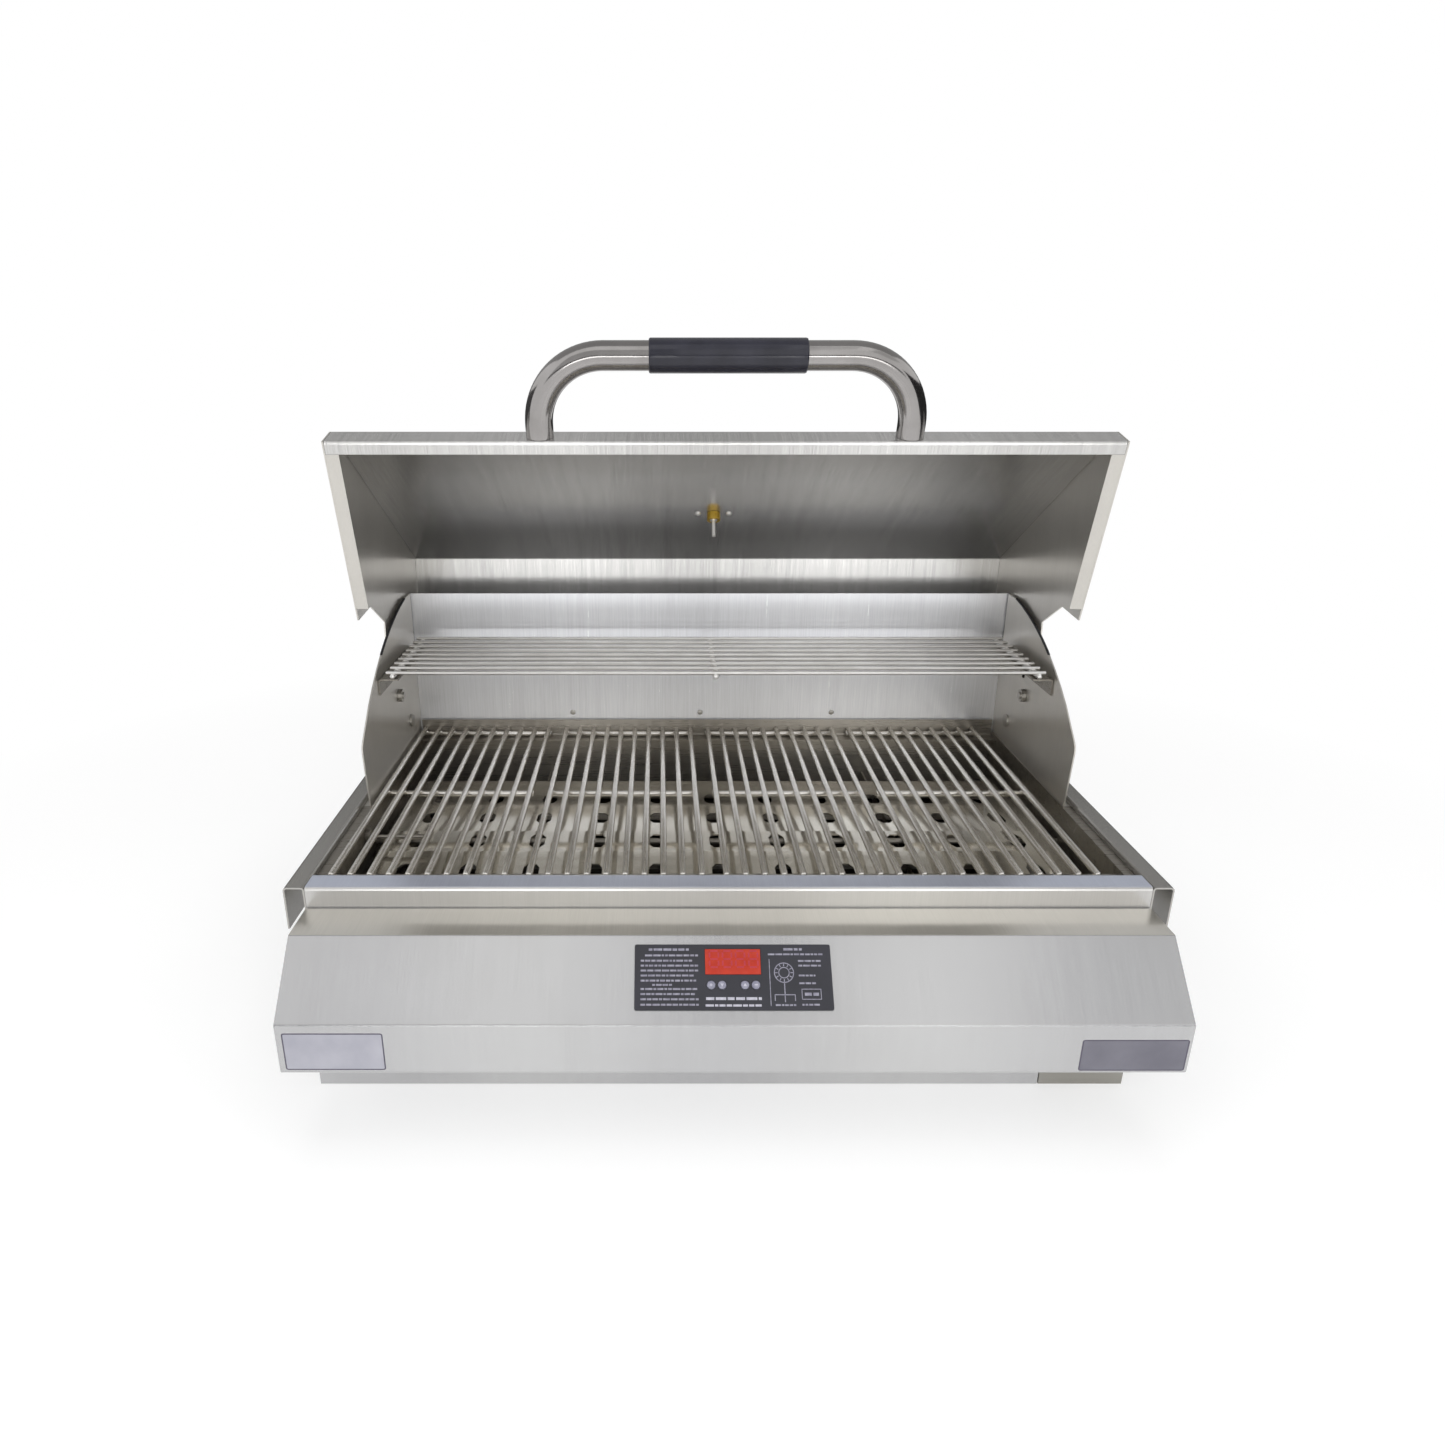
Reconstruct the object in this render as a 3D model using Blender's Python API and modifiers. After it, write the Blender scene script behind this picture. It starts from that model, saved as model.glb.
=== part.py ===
"""Built-in electric grill with a hinged lid, four lift-out grates and a digital control panel.

Lengths are in metres, +Z is up, +X is to the right and +Y runs from front to back.
The origin is the centre of the underside of the body. The lid is modelled closed about its hinge
axis, then turned to its open position.
"""

import math

import bmesh
import bpy
from mathutils import Matrix, Vector

# Sheet metal and clearances
SHEET = 0.0015
GAP = 0.0003
RUN_CLEARANCE = 0.001
BEND_RADIUS = 0.003
BEND_STEPS = 3
OVERRUN = 0.004
OVERLAP = 0.0004
WELD = 0.00001

# Body box
BODY_WIDTH = 0.738
BODY_HEIGHT = 0.190
LEDGE_DROP = 0.006
WIRING_HOLE_RADIUS = 0.012
VENT_COUNT = 7
VENT_LENGTH = 0.050
VENT_HEIGHT = 0.006
VENT_PITCH = 0.080
VENT_LEVEL = 0.125

# Side flanges that hang the box on the worktop
FLANGE_WIDTH = 0.0187
FLANGE_LIP = 0.041
FLANGE_INNER_LEG = 0.035

# Front rail
RAIL_DEPTH = 0.025
RAIL_FACE_HEIGHT = 0.055
RAIL_INNER_LEG = 0.0074

# Control housing in front of the body
SHELF_DROP = 0.019
SHELF_DEPTH = 0.045
SLOPE_DEPTH = 0.052
SLOPE_HEIGHT = 0.051
VALANCE_HEIGHT = 0.047
HOUSING_RETURN = 0.014

# Control panel, measured down the slope from its top edge
PANEL_WIDTH = 0.161
PANEL_LENGTH = 0.053
PANEL_THICKNESS = 0.0012
PANEL_DOWN = 0.0345
PANEL_CORNER = 0.0015
PANEL_SIDE_SEAT = 0.018
PANEL_END_SEAT = 0.0025
WINDOW_WIDTH = 0.046
WINDOW_LENGTH = 0.021
WINDOW_UP = 0.0124
WINDOW_THICKNESS = 0.003
BUTTON_RADIUS = 0.0034
BUTTON_SIDES = 16
BUTTON_PROUD = 0.0014
BUTTON_EDGE = 0.0004
BUTTON_TRAVEL = 0.0008
BUTTON_COLLAR_WIDTH = 0.0008
BUTTON_COLLAR_HEIGHT = 0.0012
BUTTON_DOWN = 0.0065
BUTTON_INNER = 0.0093
BUTTON_OUTER = 0.0182
BOARD_THICKNESS = 0.0016
BOARD_BEHIND = 0.012
BOARD_WIDTH = 0.150
BOARD_LENGTH = 0.038
STANDOFF_RADIUS = 0.003
STANDOFF_INSET = 0.005
SWITCH_SIZE = 0.006

# Liner: the inner firebox with its funnel
LINER_SIDE_GAP = 0.0063
LINER_BACK_GAP = 0.003
LINER_DEPTH = 0.095
FUNNEL_DEPTH = 0.035
FUNNEL_MARGIN = 0.012
FUNNEL_FRONT = 0.014

# Cheeks, back wall, hinge and lid stops
CHEEK_FRONT_BEFORE_HINGE = 0.142
CHEEK_LEAN = 0.007
CHEEK_NOSE_HEIGHT = 0.062
CHEEK_NOSE_RADIUS = 0.012
CHEEK_TOP_HEIGHT = 0.168
CHEEK_FLAT_TOP = 0.028
CHEEK_CROWN_RADIUS = 0.372
CHEEK_CROWN_STEPS = 10
CHEEK_SKIRT = 0.060
BACK_STEP_HEIGHT = 0.109
BACK_STEP_DEPTH = 0.0025
HINGE_INSET = 0.323
HINGE_TO_BACK = 0.0948
HINGE_HEIGHT = 0.069
HINGE_THREAD_RADIUS = 0.004
HINGE_SHOULDER_RADIUS = 0.006
HINGE_HEAD_RADIUS = 0.009
HINGE_HEAD_HEIGHT = 0.003
HINGE_NUT_RADIUS = 0.0075
HINGE_NUT_HEIGHT = 0.005
HINGE_THREAD_PROUD = 0.0015
STOP_RADIUS = 0.004
STOP_REACH = 0.058
STOP_HEAD_RADIUS = 0.0075
STOP_HEAD_HEIGHT = 0.0025
STOP_PROUD = 0.001

# Grates
GRATE_COUNT = 4
RODS_PER_GRATE = 10
GRATE_PITCH = 0.1778
GRATE_SHIFT = -0.0107
ROD_RADIUS = 0.003175
ROD_PITCH = 0.0173
ROD_SIDES = 8
BAR_SIDES = 6
BAR_SINK = 0.0012
BAR_OVERHANG = 0.0003
BAR_FRONT_INSET = 0.005
BAR_MIDDLE_INSET = 0.192
BAR_BACK_INSET = 0.005

# Grate ledges
LEDGE_SHELF = 0.020
LEDGE_FRONT_LEG = 0.026
LEDGE_UPSTAND = 0.008

# Heat shield and its support rods
SHIELD_BELOW = 0.040
SHIELD_STRIP = 0.046
SHIELD_CENTRE = 0.169
SHIELD_FRONT_RUN = 0.116
SHIELD_REAR_RUN = 0.164
SHIELD_FALL_SHARE = 0.08
SHIELD_HALF_WIDTH = 0.348
SHIELD_EDGE = 0.010
SLOT_RADIUS = 0.008
SLOT_LENGTH = 0.032
SLOT_END_STEPS = 3
SLOT_PITCH_X = 0.0625
SLOT_PITCH_Y = 0.0617
SLOT_COLUMNS = 11
SLOT_ROWS = 4
SLOTS_BEHIND_STRIP = 0.031
SHIELD_ROD_RADIUS = 0.003
SHIELD_ROD_SHARES = (-0.32, 0.035, 0.535)

# Heating element, its supports and its terminal block
ELEMENT_RADIUS = 0.00425
ELEMENT_BELOW = 0.075
ELEMENT_RUNS = 6
ELEMENT_PITCH = 0.060
ELEMENT_FIRST_RUN = 0.017
ELEMENT_LEFT_MARGIN = 0.0297
ELEMENT_RIGHT_MARGIN = 0.0417
ELEMENT_RETURN_MARGIN = 0.0147
ELEMENT_EXIT_RADIUS = 0.012
ELEMENT_TURN_STEPS = 8
SUPPORT_HEIGHT = 0.022
SUPPORT_THICKNESS = 0.002
SUPPORT_OFFSET = 0.200
TERMINAL_WIDTH = 0.054
TERMINAL_HEIGHT = 0.030
TERMINAL_DEPTH = 0.013

# Temperature sensor
SENSOR_BEFORE_CHEEK = 0.031
SENSOR_BELOW = 0.026
SENSOR_RADIUS = 0.0025
SENSOR_LENGTH = 0.055
SENSOR_HEAD_RADIUS = 0.008
SENSOR_HEAD_LENGTH = 0.005
SENSOR_THREAD_RADIUS = 0.004
SENSOR_THREAD_LENGTH = 0.004

# Drip tray, runners, junction box and gland
FASCIA_DEPTH = 0.0245
FASCIA_BOTTOM = 0.0006
FASCIA_TOP = 0.065
JUNCTION_WIDTH = 0.076
JUNCTION_SIDE_INSET = 0.008
SEAM = 0.001
TRAY_HEIGHT = 0.036
TRAY_REAR_CLEARANCE = 0.0193
TRAY_SIDE_MARGIN = 0.0078
TRAY_LAP = 0.0008
RUNNER_FOOT = 0.016
RUNNER_HEIGHT = 0.020
GLAND_X = 0.325
GLAND_LEVEL = 0.040
GLAND_RADIUS = 0.014
GLAND_BORE = 0.006
GLAND_LENGTH = 0.020
GLAND_COLLAR = 0.006
GLAND_NOSE_RADIUS = 0.010
GLAND_THREAD_LENGTH = 0.010

# Warming rack and its brackets
RACK_BEFORE_HINGE = 0.075
RACK_DEPTH = 0.140
RACK_HEIGHT = 0.112
RACK_HALF_WIDTH = 0.345
RACK_OVERHANG = 0.007
RACK_FRAME_RADIUS = 0.003
RACK_WIRE_RADIUS = 0.002
RACK_WIRES = 9
RACK_WIRE_SINK = 0.0009
BRACKET_HEIGHT = 0.018
BRACKET_SHELF = 0.022

# Lid, closed: places before and behind the hinge axis, heights above the rail
LID_HALF_WIDTH = 0.3675
LID_OPEN_ANGLE = math.radians(74.7)
LID_REST_HEIGHT = 0.0008
LID_FRONT_INSET = 0.001
LID_LIP_RETURN = 0.012
LID_SKIRT_HEIGHT = 0.028
LID_SLANT_BEFORE = 0.089
LID_SLANT_HEIGHT = 0.247
LID_CROWN_BEHIND = 0.070
LID_CROWN_HEIGHT = 0.200
LID_REAR_BEHIND = 0.0985
LID_REAR_HEIGHT = 0.1715
LID_TAIL_BEHIND = 0.090
LID_TAIL_HEIGHT = 0.150
LID_LOBE_RADIUS = 0.022
LID_LOBE_STEPS = 6
LID_WAIST_BEFORE = 0.089
LID_WAIST_HEIGHT = 0.083
LID_NOTCH_BEFORE = 0.129
LID_NOTCH_HEIGHT = 0.045
LID_HEEL_BEFORE = 0.137
LID_RETURN_BEFORE = 0.150

# Handle
HANDLE_RADIUS = 0.0127
HANDLE_STANDOFF = 0.072
HANDLE_HALF_SPAN = 0.170
HANDLE_BEND_RADIUS = 0.060
HANDLE_BEND_STEPS = 8
GRIP_LENGTH = 0.139
GRIP_RADIUS = 0.0148
GRIP_EDGE = 0.001
HANDLE_BOLT_RADIUS = 0.004
HANDLE_BOLT_DEPTH = 0.018
HANDLE_BOLT_HEAD_RADIUS = 0.0075
HANDLE_BOLT_HEAD_HEIGHT = 0.005

# Lid thermometer, measured from the outer face of the slanted panel
THERMOMETER_UP_SHARE = 0.57
BEZEL_RADIUS = 0.034
BEZEL_DEPTH = 0.012
BEZEL_WALL = 0.002
BEZEL_STEP = 0.0015
BEZEL_FLOOR = 0.002
DIAL_THICKNESS = 0.001
GLASS_THICKNESS = 0.002
NEEDLE_REST_ANGLE = math.radians(120)
NEEDLE_LENGTH = 0.022
NEEDLE_TAIL = 0.008
NEEDLE_WIDTH = 0.0024
NEEDLE_THICKNESS = 0.0008
NEEDLE_HUB_RADIUS = 0.0032
NEEDLE_LIFT = 0.002
SPINDLE_RADIUS = 0.0012
STEM_RADIUS = 0.004
PROBE_RADIUS = 0.0022
PROBE_LENGTH = 0.027
FITTING_RADIUS = 0.0075
FITTING_LENGTH = 0.008

# Planes that the pieces share
HALF = BODY_WIDTH / 2
BODY_DEPTH = HINGE_INSET + HINGE_TO_BACK - SHEET - GAP
FRONT = -BODY_DEPTH / 2
BACK = BODY_DEPTH / 2
TOP = BODY_HEIGHT
LEDGE_Z = TOP - LEDGE_DROP
BODY_RIM = LEDGE_Z - SHEET - GAP
RAIL_Y = FRONT - GAP - SHEET
RAIL_BACK = RAIL_Y + RAIL_DEPTH
HOUSING_BACK = RAIL_Y - GAP
SHELF_Z = TOP - SHELF_DROP
SLOPE_TOP_Y = HOUSING_BACK - SHELF_DEPTH
VALANCE_Y = SLOPE_TOP_Y - SLOPE_DEPTH
VALANCE_TOP = SHELF_Z - SLOPE_HEIGHT
VALANCE_BOTTOM = VALANCE_TOP - VALANCE_HEIGHT
LINER_HALF = HALF - SHEET - LINER_SIDE_GAP
LINER_FRONT = RAIL_BACK + GAP
LINER_BACK = BACK - SHEET - LINER_BACK_GAP
LINER_INNER_HALF = LINER_HALF - SHEET
LINER_INNER_FRONT = LINER_FRONT + SHEET
LINER_INNER_BACK = LINER_BACK - SHEET
CHEEK_INNER = LINER_HALF + GAP
CHEEK_OUTER = CHEEK_INNER + SHEET
BACK_WALL = LINER_BACK + GAP
HINGE_Y = RAIL_Y + HINGE_INSET
CHEEK_FRONT = HINGE_Y - CHEEK_FRONT_BEFORE_HINGE
HINGE_Z = TOP + HINGE_HEIGHT
LID_END_INNER = LID_HALF_WIDTH - SHEET
LID_FRONT = LID_FRONT_INSET - HINGE_INSET
JUNCTION_RIGHT = HALF - JUNCTION_SIDE_INSET
FASCIA_SPLIT = JUNCTION_RIGHT - JUNCTION_WIDTH - SEAM
FASCIA_Y = FRONT - GAP - FASCIA_DEPTH
RUNNER_TOP = SHEET + GAP + SHEET
TRAY_BOTTOM = RUNNER_TOP + GAP
TRAY_LEFT = -HALF + TRAY_SIDE_MARGIN
TRAY_RIGHT = FASCIA_SPLIT - TRAY_SIDE_MARGIN
TRAY_BACK = BACK - SHEET - TRAY_REAR_CLEARANCE
ROD_Z = TOP - GAP - ROD_RADIUS
BAR_Z = ROD_Z - 2 * ROD_RADIUS + BAR_SINK
GRATE_SEAT = BAR_Z - ROD_RADIUS - GAP
GRATE_FRONT = LINER_INNER_FRONT + RUN_CLEARANCE
GRATE_LENGTH = LINER_INNER_BACK - SHEET - RUN_CLEARANCE / 2 - GRATE_FRONT
SENSOR_Y = CHEEK_FRONT - SENSOR_BEFORE_CHEEK
SHIELD_Z = TOP - SHIELD_BELOW
SHIELD_Y = RAIL_Y + SHIELD_CENTRE
ELEMENT_Z = TOP - ELEMENT_BELOW
ELEMENT_Y = LINER_INNER_FRONT + ELEMENT_FIRST_RUN
ELEMENT_LEFT_REACH = LINER_INNER_HALF - ELEMENT_LEFT_MARGIN
ELEMENT_RIGHT_REACH = LINER_INNER_HALF - ELEMENT_RIGHT_MARGIN
ELEMENT_RETURN_REACH = LINER_INNER_HALF - ELEMENT_RETURN_MARGIN
RACK_SEAT = TOP + RACK_HEIGHT
RACK_FRONT = HINGE_Y - RACK_BEFORE_HINGE

# Axes of the local frames: a plate standing in YZ, and a turned piece lying along X or Y
UPRIGHT = Matrix.Rotation(math.pi / 2, 4, "Z") @ Matrix.Rotation(math.pi / 2, 4, "X")
ALONG_X = Matrix.Rotation(math.pi / 2, 4, "Y")
ALONG_Y = Matrix.Rotation(-math.pi / 2, 4, "X")
FORWARD = Matrix.Rotation(math.pi / 2, 4, "X")


def clear_scene():
    """Remove every object of the scene that the script runs in."""
    for item in list(bpy.data.objects):
        bpy.data.objects.remove(item, do_unlink=True)


def new_collection(name):
    """Make a collection in the scene."""
    made = bpy.data.collections.new(name)
    bpy.context.scene.collection.children.link(made)
    return made


def new_finish(name, color, roughness, metallic):
    """Make a Principled material."""
    made = bpy.data.materials.new(name)
    made.use_nodes = True
    shader = made.node_tree.nodes["Principled BSDF"]
    shader.inputs["Base Color"].default_value = (*color, 1)
    shader.inputs["Roughness"].default_value = roughness
    shader.inputs["Metallic"].default_value = metallic
    made.diffuse_color = (*color, 1)
    return made


clear_scene()
PARTS = new_collection("built_in_electric_grill")
CUTTERS = new_collection("cutters")
STEEL = new_finish("brushed_stainless", (0.62, 0.60, 0.56), 0.32, 1)
BRIGHT = new_finish("polished_stainless", (0.72, 0.70, 0.66), 0.18, 1)
GREY = new_finish("grey_box_steel", (0.45, 0.44, 0.42), 0.42, 1)
ROD_STEEL = new_finish("rod_steel", (0.66, 0.65, 0.62), 0.25, 1)
LABEL = new_finish("panel_label", (0.035, 0.036, 0.045), 0.38, 0)
RED = new_finish("display_red", (0.85, 0.06, 0.02), 0.25, 0)
KEYS = new_finish("button_grey", (0.20, 0.20, 0.22), 0.45, 0)
BOARD = new_finish("circuit_green", (0.03, 0.16, 0.07), 0.5, 0)
SHEATH = new_finish("element_sheath", (0.09, 0.085, 0.08), 0.55, 1)
CERAMIC = new_finish("terminal_ceramic", (0.78, 0.75, 0.68), 0.6, 0)
BRASS = new_finish("brass_fitting", (0.72, 0.50, 0.18), 0.3, 1)
RUBBER = new_finish("black_grip", (0.025, 0.025, 0.028), 0.62, 0)
DIAL = new_finish("dial_white", (0.85, 0.85, 0.82), 0.5, 0)
GLASS = new_finish("dial_glass", (0.85, 0.9, 0.9), 0.05, 0)
BLACK = new_finish("black_plastic", (0.03, 0.03, 0.03), 0.45, 0)


def at(x=0, y=0, z=0):
    """A translation matrix."""
    return Matrix.Translation((x, y, z))


def link(name, data, finish=None, frame=None):
    """Put a mesh or curve into the scene. Without a finish it is a cutter."""
    made = bpy.data.objects.new(name, data)
    (PARTS if finish else CUTTERS).objects.link(made)
    if finish:
        data.materials.clear()
        data.materials.append(finish)
    else:
        made.hide_render = True
        made.display_type = "WIRE"
    if frame:
        made.matrix_world = frame
    return made


def link_shape(name, shape, finish=None, frame=None):
    """Turn a bmesh into an object and free it."""
    mesh = bpy.data.meshes.new(name)
    shape.to_mesh(mesh)
    shape.free()
    return link(name, mesh, finish, frame)


def smooth(made, angle=math.radians(40)):
    """Shade a round piece smooth, with its real edges kept sharp."""
    made.data.shade_smooth()
    made.data.set_sharp_from_angle(angle=angle)
    return made


def arc(centre, radius, start, end, steps):
    """Points of an arc about a 2D centre, with both ends."""
    turn = (end - start) / steps
    return [
        (centre[0] + radius * math.cos(start + k * turn), centre[1] + radius * math.sin(start + k * turn))
        for k in range(steps + 1)
    ]


def arc_between(first, last, radius, steps):
    """Points of the shorter arc from first to last that turns clockwise."""
    a, b = Vector(first), Vector(last)
    chord = b - a
    half = chord.length / 2
    across = Vector((chord.y, -chord.x)).normalized()
    centre = (a + b) / 2 + across * math.sqrt(radius * radius - half * half)
    start = math.atan2(a.y - centre.y, a.x - centre.x)
    sweep = 2 * math.asin(half / radius)
    return arc(centre, radius, start, start - sweep, steps)


def rounded(points, radius=BEND_RADIUS, steps=BEND_STEPS, closed=False):
    """Replace the corners of a 2D path by tangent arcs. The ends of an open path stay."""
    path = [Vector(p) for p in points]
    count = len(path)
    corners = range(count) if closed else range(1, count - 1)
    result = [] if closed else [tuple(path[0])]
    for k in corners:
        here = path[k]
        arm_in = path[k - 1] - here
        arm_out = path[(k + 1) % count] - here
        opening = arm_in.angle(arm_out)
        reach = min(radius / math.tan(opening / 2), arm_in.length / 2, arm_out.length / 2)
        size = reach * math.tan(opening / 2)
        middle = (arm_in.normalized() + arm_out.normalized()).normalized()
        centre = here + middle * (size / math.sin(opening / 2))
        first = here + arm_in.normalized() * reach - centre
        side = 1 if arm_in.x * arm_out.y - arm_in.y * arm_out.x < 0 else -1
        base = math.atan2(first.y, first.x)
        result += arc(centre, size, base, base + side * (math.pi - opening), steps)
    if not closed:
        result.append(tuple(path[-1]))
    return result


def tangent_angle(point, centre, radius, side):
    """Direction from a circle's centre to the point where a line from an outer point touches it."""
    away = Vector(point) - Vector(centre)
    return math.atan2(away.y, away.x) + side * math.acos(radius / away.length)


def bent_sheet(name, path, start, end, finish, axis="X", left=True, frame=None):
    """Sheet metal bent along a 2D path and run from start to end along an axis.

    The path lies in YZ for the X axis and in XZ for the Y axis, and the sheet's thickness grows
    to the path's left or right.
    """
    run = Vector((end - start, 0, 0)) if axis == "X" else Vector((0, end - start, 0))
    spots = [Vector((start, a, b)) if axis == "X" else Vector((a, start, b)) for a, b in path]
    shape = bmesh.new()
    verts = [shape.verts.new(spot) for spot in spots]
    edges = [shape.edges.new(pair) for pair in zip(verts, verts[1:])]
    grown = bmesh.ops.extrude_edge_only(shape, edges=edges)
    fresh = [item for item in grown["geom"] if isinstance(item, bmesh.types.BMVert)]
    bmesh.ops.translate(shape, verts=fresh, vec=run)
    bmesh.ops.recalc_face_normals(shape, faces=shape.faces)
    along = spots[1] - spots[0]
    leftward = Vector((0, -along.z, along.y)) if axis == "X" else Vector((-along.z, 0, along.x))
    if edges[0].link_faces[0].normal.dot(leftward) < 0:
        bmesh.ops.reverse_faces(shape, faces=shape.faces)
    made = link_shape(name, shape, finish, frame)
    thicken(made, 1 if left else -1)
    return made


def thicken(made, offset):
    """Give an open surface the thickness of the sheet, along or against its normals."""
    solid = made.modifiers.new("sheet_thickness", "SOLIDIFY")
    solid.thickness = SHEET
    solid.offset = offset
    solid.use_even_offset = True


def flat_plate(name, outline, thickness, finish=None, holes=(), frame=None):
    """A plate cut to a 2D outline with holes, centred on its own middle plane."""
    curve = bpy.data.curves.new(name, "CURVE")
    curve.dimensions = "2D"
    curve.fill_mode = "BOTH"
    curve.extrude = thickness / 2
    for ring in (outline, *holes):
        spline = curve.splines.new("POLY")
        spline.points.add(len(ring) - 1)
        for point, spot in zip(spline.points, ring):
            point.co = (*spot, 0, 1)
        spline.use_cyclic_u = True
    return link(name, curve, finish, frame)


def box_shape(low, high):
    """A bmesh box between two corners."""
    shape = bmesh.new()
    bmesh.ops.create_cube(shape, size=1)
    low, high = Vector(low), Vector(high)
    bmesh.ops.scale(shape, verts=shape.verts, vec=high - low)
    bmesh.ops.translate(shape, verts=shape.verts, vec=(low + high) / 2)
    return shape


def box(name, low, high, finish=None, frame=None):
    """A box between two corners."""
    return link_shape(name, box_shape(low, high), finish, frame)


def open_box(name, low, high, finish, opening):
    """A sheet box whose side that faces along the opening vector is missing."""
    shape = box_shape(low, high)
    lost = [face for face in shape.faces if face.normal.dot(Vector(opening)) > 0.5]
    bmesh.ops.delete(shape, geom=lost, context="FACES_ONLY")
    made = link_shape(name, shape, finish)
    thicken(made, -1)
    return made


def rods(name, ends, radius, sides, finish=None, roll=0.0):
    """Straight round rods, each between two points, as one mesh."""
    shape = bmesh.new()
    for first, last in ends:
        along = Vector(last) - Vector(first)
        turn = along.to_track_quat("Z", "Y").to_matrix().to_4x4() @ Matrix.Rotation(roll, 4, "Z")
        bmesh.ops.create_cone(
            shape, cap_ends=True, segments=sides, radius1=radius, radius2=radius,
            depth=along.length, matrix=Matrix.Translation((Vector(first) + Vector(last)) / 2) @ turn,
        )
    return link_shape(name, shape, finish)


def prisms(name, outlines, low, high):
    """Upright prisms over outlines in plan, as one cutter."""
    shape = bmesh.new()
    for outline in outlines:
        base, lid = ([shape.verts.new((x, y, z)) for x, y in outline] for z in (low, high))
        shape.faces.new(reversed(base))
        shape.faces.new(lid)
        for k in range(len(outline)):
            shape.faces.new((base[k - 1], base[k], lid[k], lid[k - 1]))
    return link_shape(name, shape)


def turned(name, profile, finish=None, frame=None, steps=24, ring=False):
    """A turned piece from (radius, height) points that run down its outer side."""
    mesh = bpy.data.meshes.new(name)
    spots = [(radius, 0, height) for radius, height in profile]
    edges = [(k, k + 1) for k in range(len(spots) - 1)]
    if ring:
        edges.append((len(spots) - 1, 0))
    mesh.from_pydata(spots, edges, [])
    made = link(name, mesh, finish, frame)
    screw = made.modifiers.new("turned", "SCREW")
    screw.steps = steps
    screw.render_steps = steps
    screw.use_merge_vertices = True
    screw.merge_threshold = WELD
    screw.use_smooth_shade = True
    return made


def tube(name, points, radius, finish=None, resolution=2, frame=None):
    """A round tube along 3D points, with filled ends."""
    curve = bpy.data.curves.new(name, "CURVE")
    curve.dimensions = "3D"
    curve.bevel_depth = radius
    curve.bevel_resolution = resolution
    curve.use_fill_caps = True
    spline = curve.splines.new("POLY")
    spline.points.add(len(points) - 1)
    for point, spot in zip(spline.points, points):
        point.co = (*spot, 1)
    return link(name, curve, finish, frame)


def as_mesh(made, finish):
    """Replace an object by a plain mesh of its evaluated shape, with curve caps welded."""
    bpy.context.view_layer.update()
    evaluated = made.evaluated_get(bpy.context.evaluated_depsgraph_get())
    mesh = bpy.data.meshes.new_from_object(evaluated)
    shape = bmesh.new()
    shape.from_mesh(mesh)
    bmesh.ops.remove_doubles(shape, verts=shape.verts, dist=WELD)
    bmesh.ops.recalc_face_normals(shape, faces=shape.faces)
    name, frame = made.name, made.matrix_world.copy()
    bpy.data.objects.remove(made, do_unlink=True)
    return link_shape(name, shape, finish, frame)


def combine(made, other, operation="DIFFERENCE"):
    """Cut another object out of this one, or join it to this one."""
    step = made.modifiers.new(other.name, "BOOLEAN")
    step.operation = operation
    step.solver = "EXACT"
    step.object = other
    if other.name not in CUTTERS.objects:
        PARTS.objects.unlink(other)
        CUTTERS.objects.link(other)
    other.hide_render = True
    other.display_type = "WIRE"
    return made


def ring_points(centre, radius, sides=16):
    """Corners of a round hole whose flats keep the stated radius."""
    corner = radius / math.cos(math.pi / sides)
    return arc(centre, corner, 0, 2 * math.pi * (sides - 1) / sides, sides - 1)


def hole_cutter(name, centre, axis, radius, length, sides=16):
    """A round cutter centred on a point, whose flats keep the stated radius."""
    reach = Vector(axis) * (length / 2)
    corner = radius / math.cos(math.pi / sides)
    return rods(name, [(Vector(centre) - reach, Vector(centre) + reach)], corner, sides)


def ride(made, pivot):
    """Hang an object, placed in its pivot's own axes, on that pivot."""
    made.parent = pivot
    return made


def mirrored(path):
    """The same XZ path on the left side."""
    return [(-a, b) for a, b in path]


def add_body_shell():
    """Outer box, open at the top, with the tray's opening, wiring holes and rear vents."""
    shell = open_box("body_shell", (-HALF, FRONT, 0), (HALF, BACK, BODY_RIM), GREY, (0, 0, 1))
    combine(shell, box(
        "cut_tray_opening",
        (TRAY_LEFT - RUN_CLEARANCE, FRONT - OVERRUN, TRAY_BOTTOM - RUN_CLEARANCE),
        (TRAY_RIGHT + RUN_CLEARANCE, FRONT + SHEET + OVERRUN, TRAY_BOTTOM + TRAY_HEIGHT + RUN_CLEARANCE),
    ))
    wiring = (JUNCTION_RIGHT - JUNCTION_WIDTH / 2, FRONT, (FASCIA_BOTTOM + FASCIA_TOP) / 2)
    combine(shell, hole_cutter("cut_wiring", wiring, (0, 1, 0), WIRING_HOLE_RADIUS, 2 * OVERRUN))
    gland = (GLAND_X, BACK, GLAND_LEVEL)
    combine(shell, hole_cutter("cut_gland", gland, (0, 1, 0), GLAND_NOSE_RADIUS + GAP, 2 * OVERRUN))
    for k in range(VENT_COUNT):
        x = (k - (VENT_COUNT - 1) / 2) * VENT_PITCH
        combine(shell, box(
            f"cut_vent_{k + 1}",
            (x - VENT_LENGTH / 2, BACK - SHEET - LINER_BACK_GAP / 2, VENT_LEVEL - VENT_HEIGHT / 2),
            (x + VENT_LENGTH / 2, BACK + OVERRUN, VENT_LEVEL + VENT_HEIGHT / 2),
        ))


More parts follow.
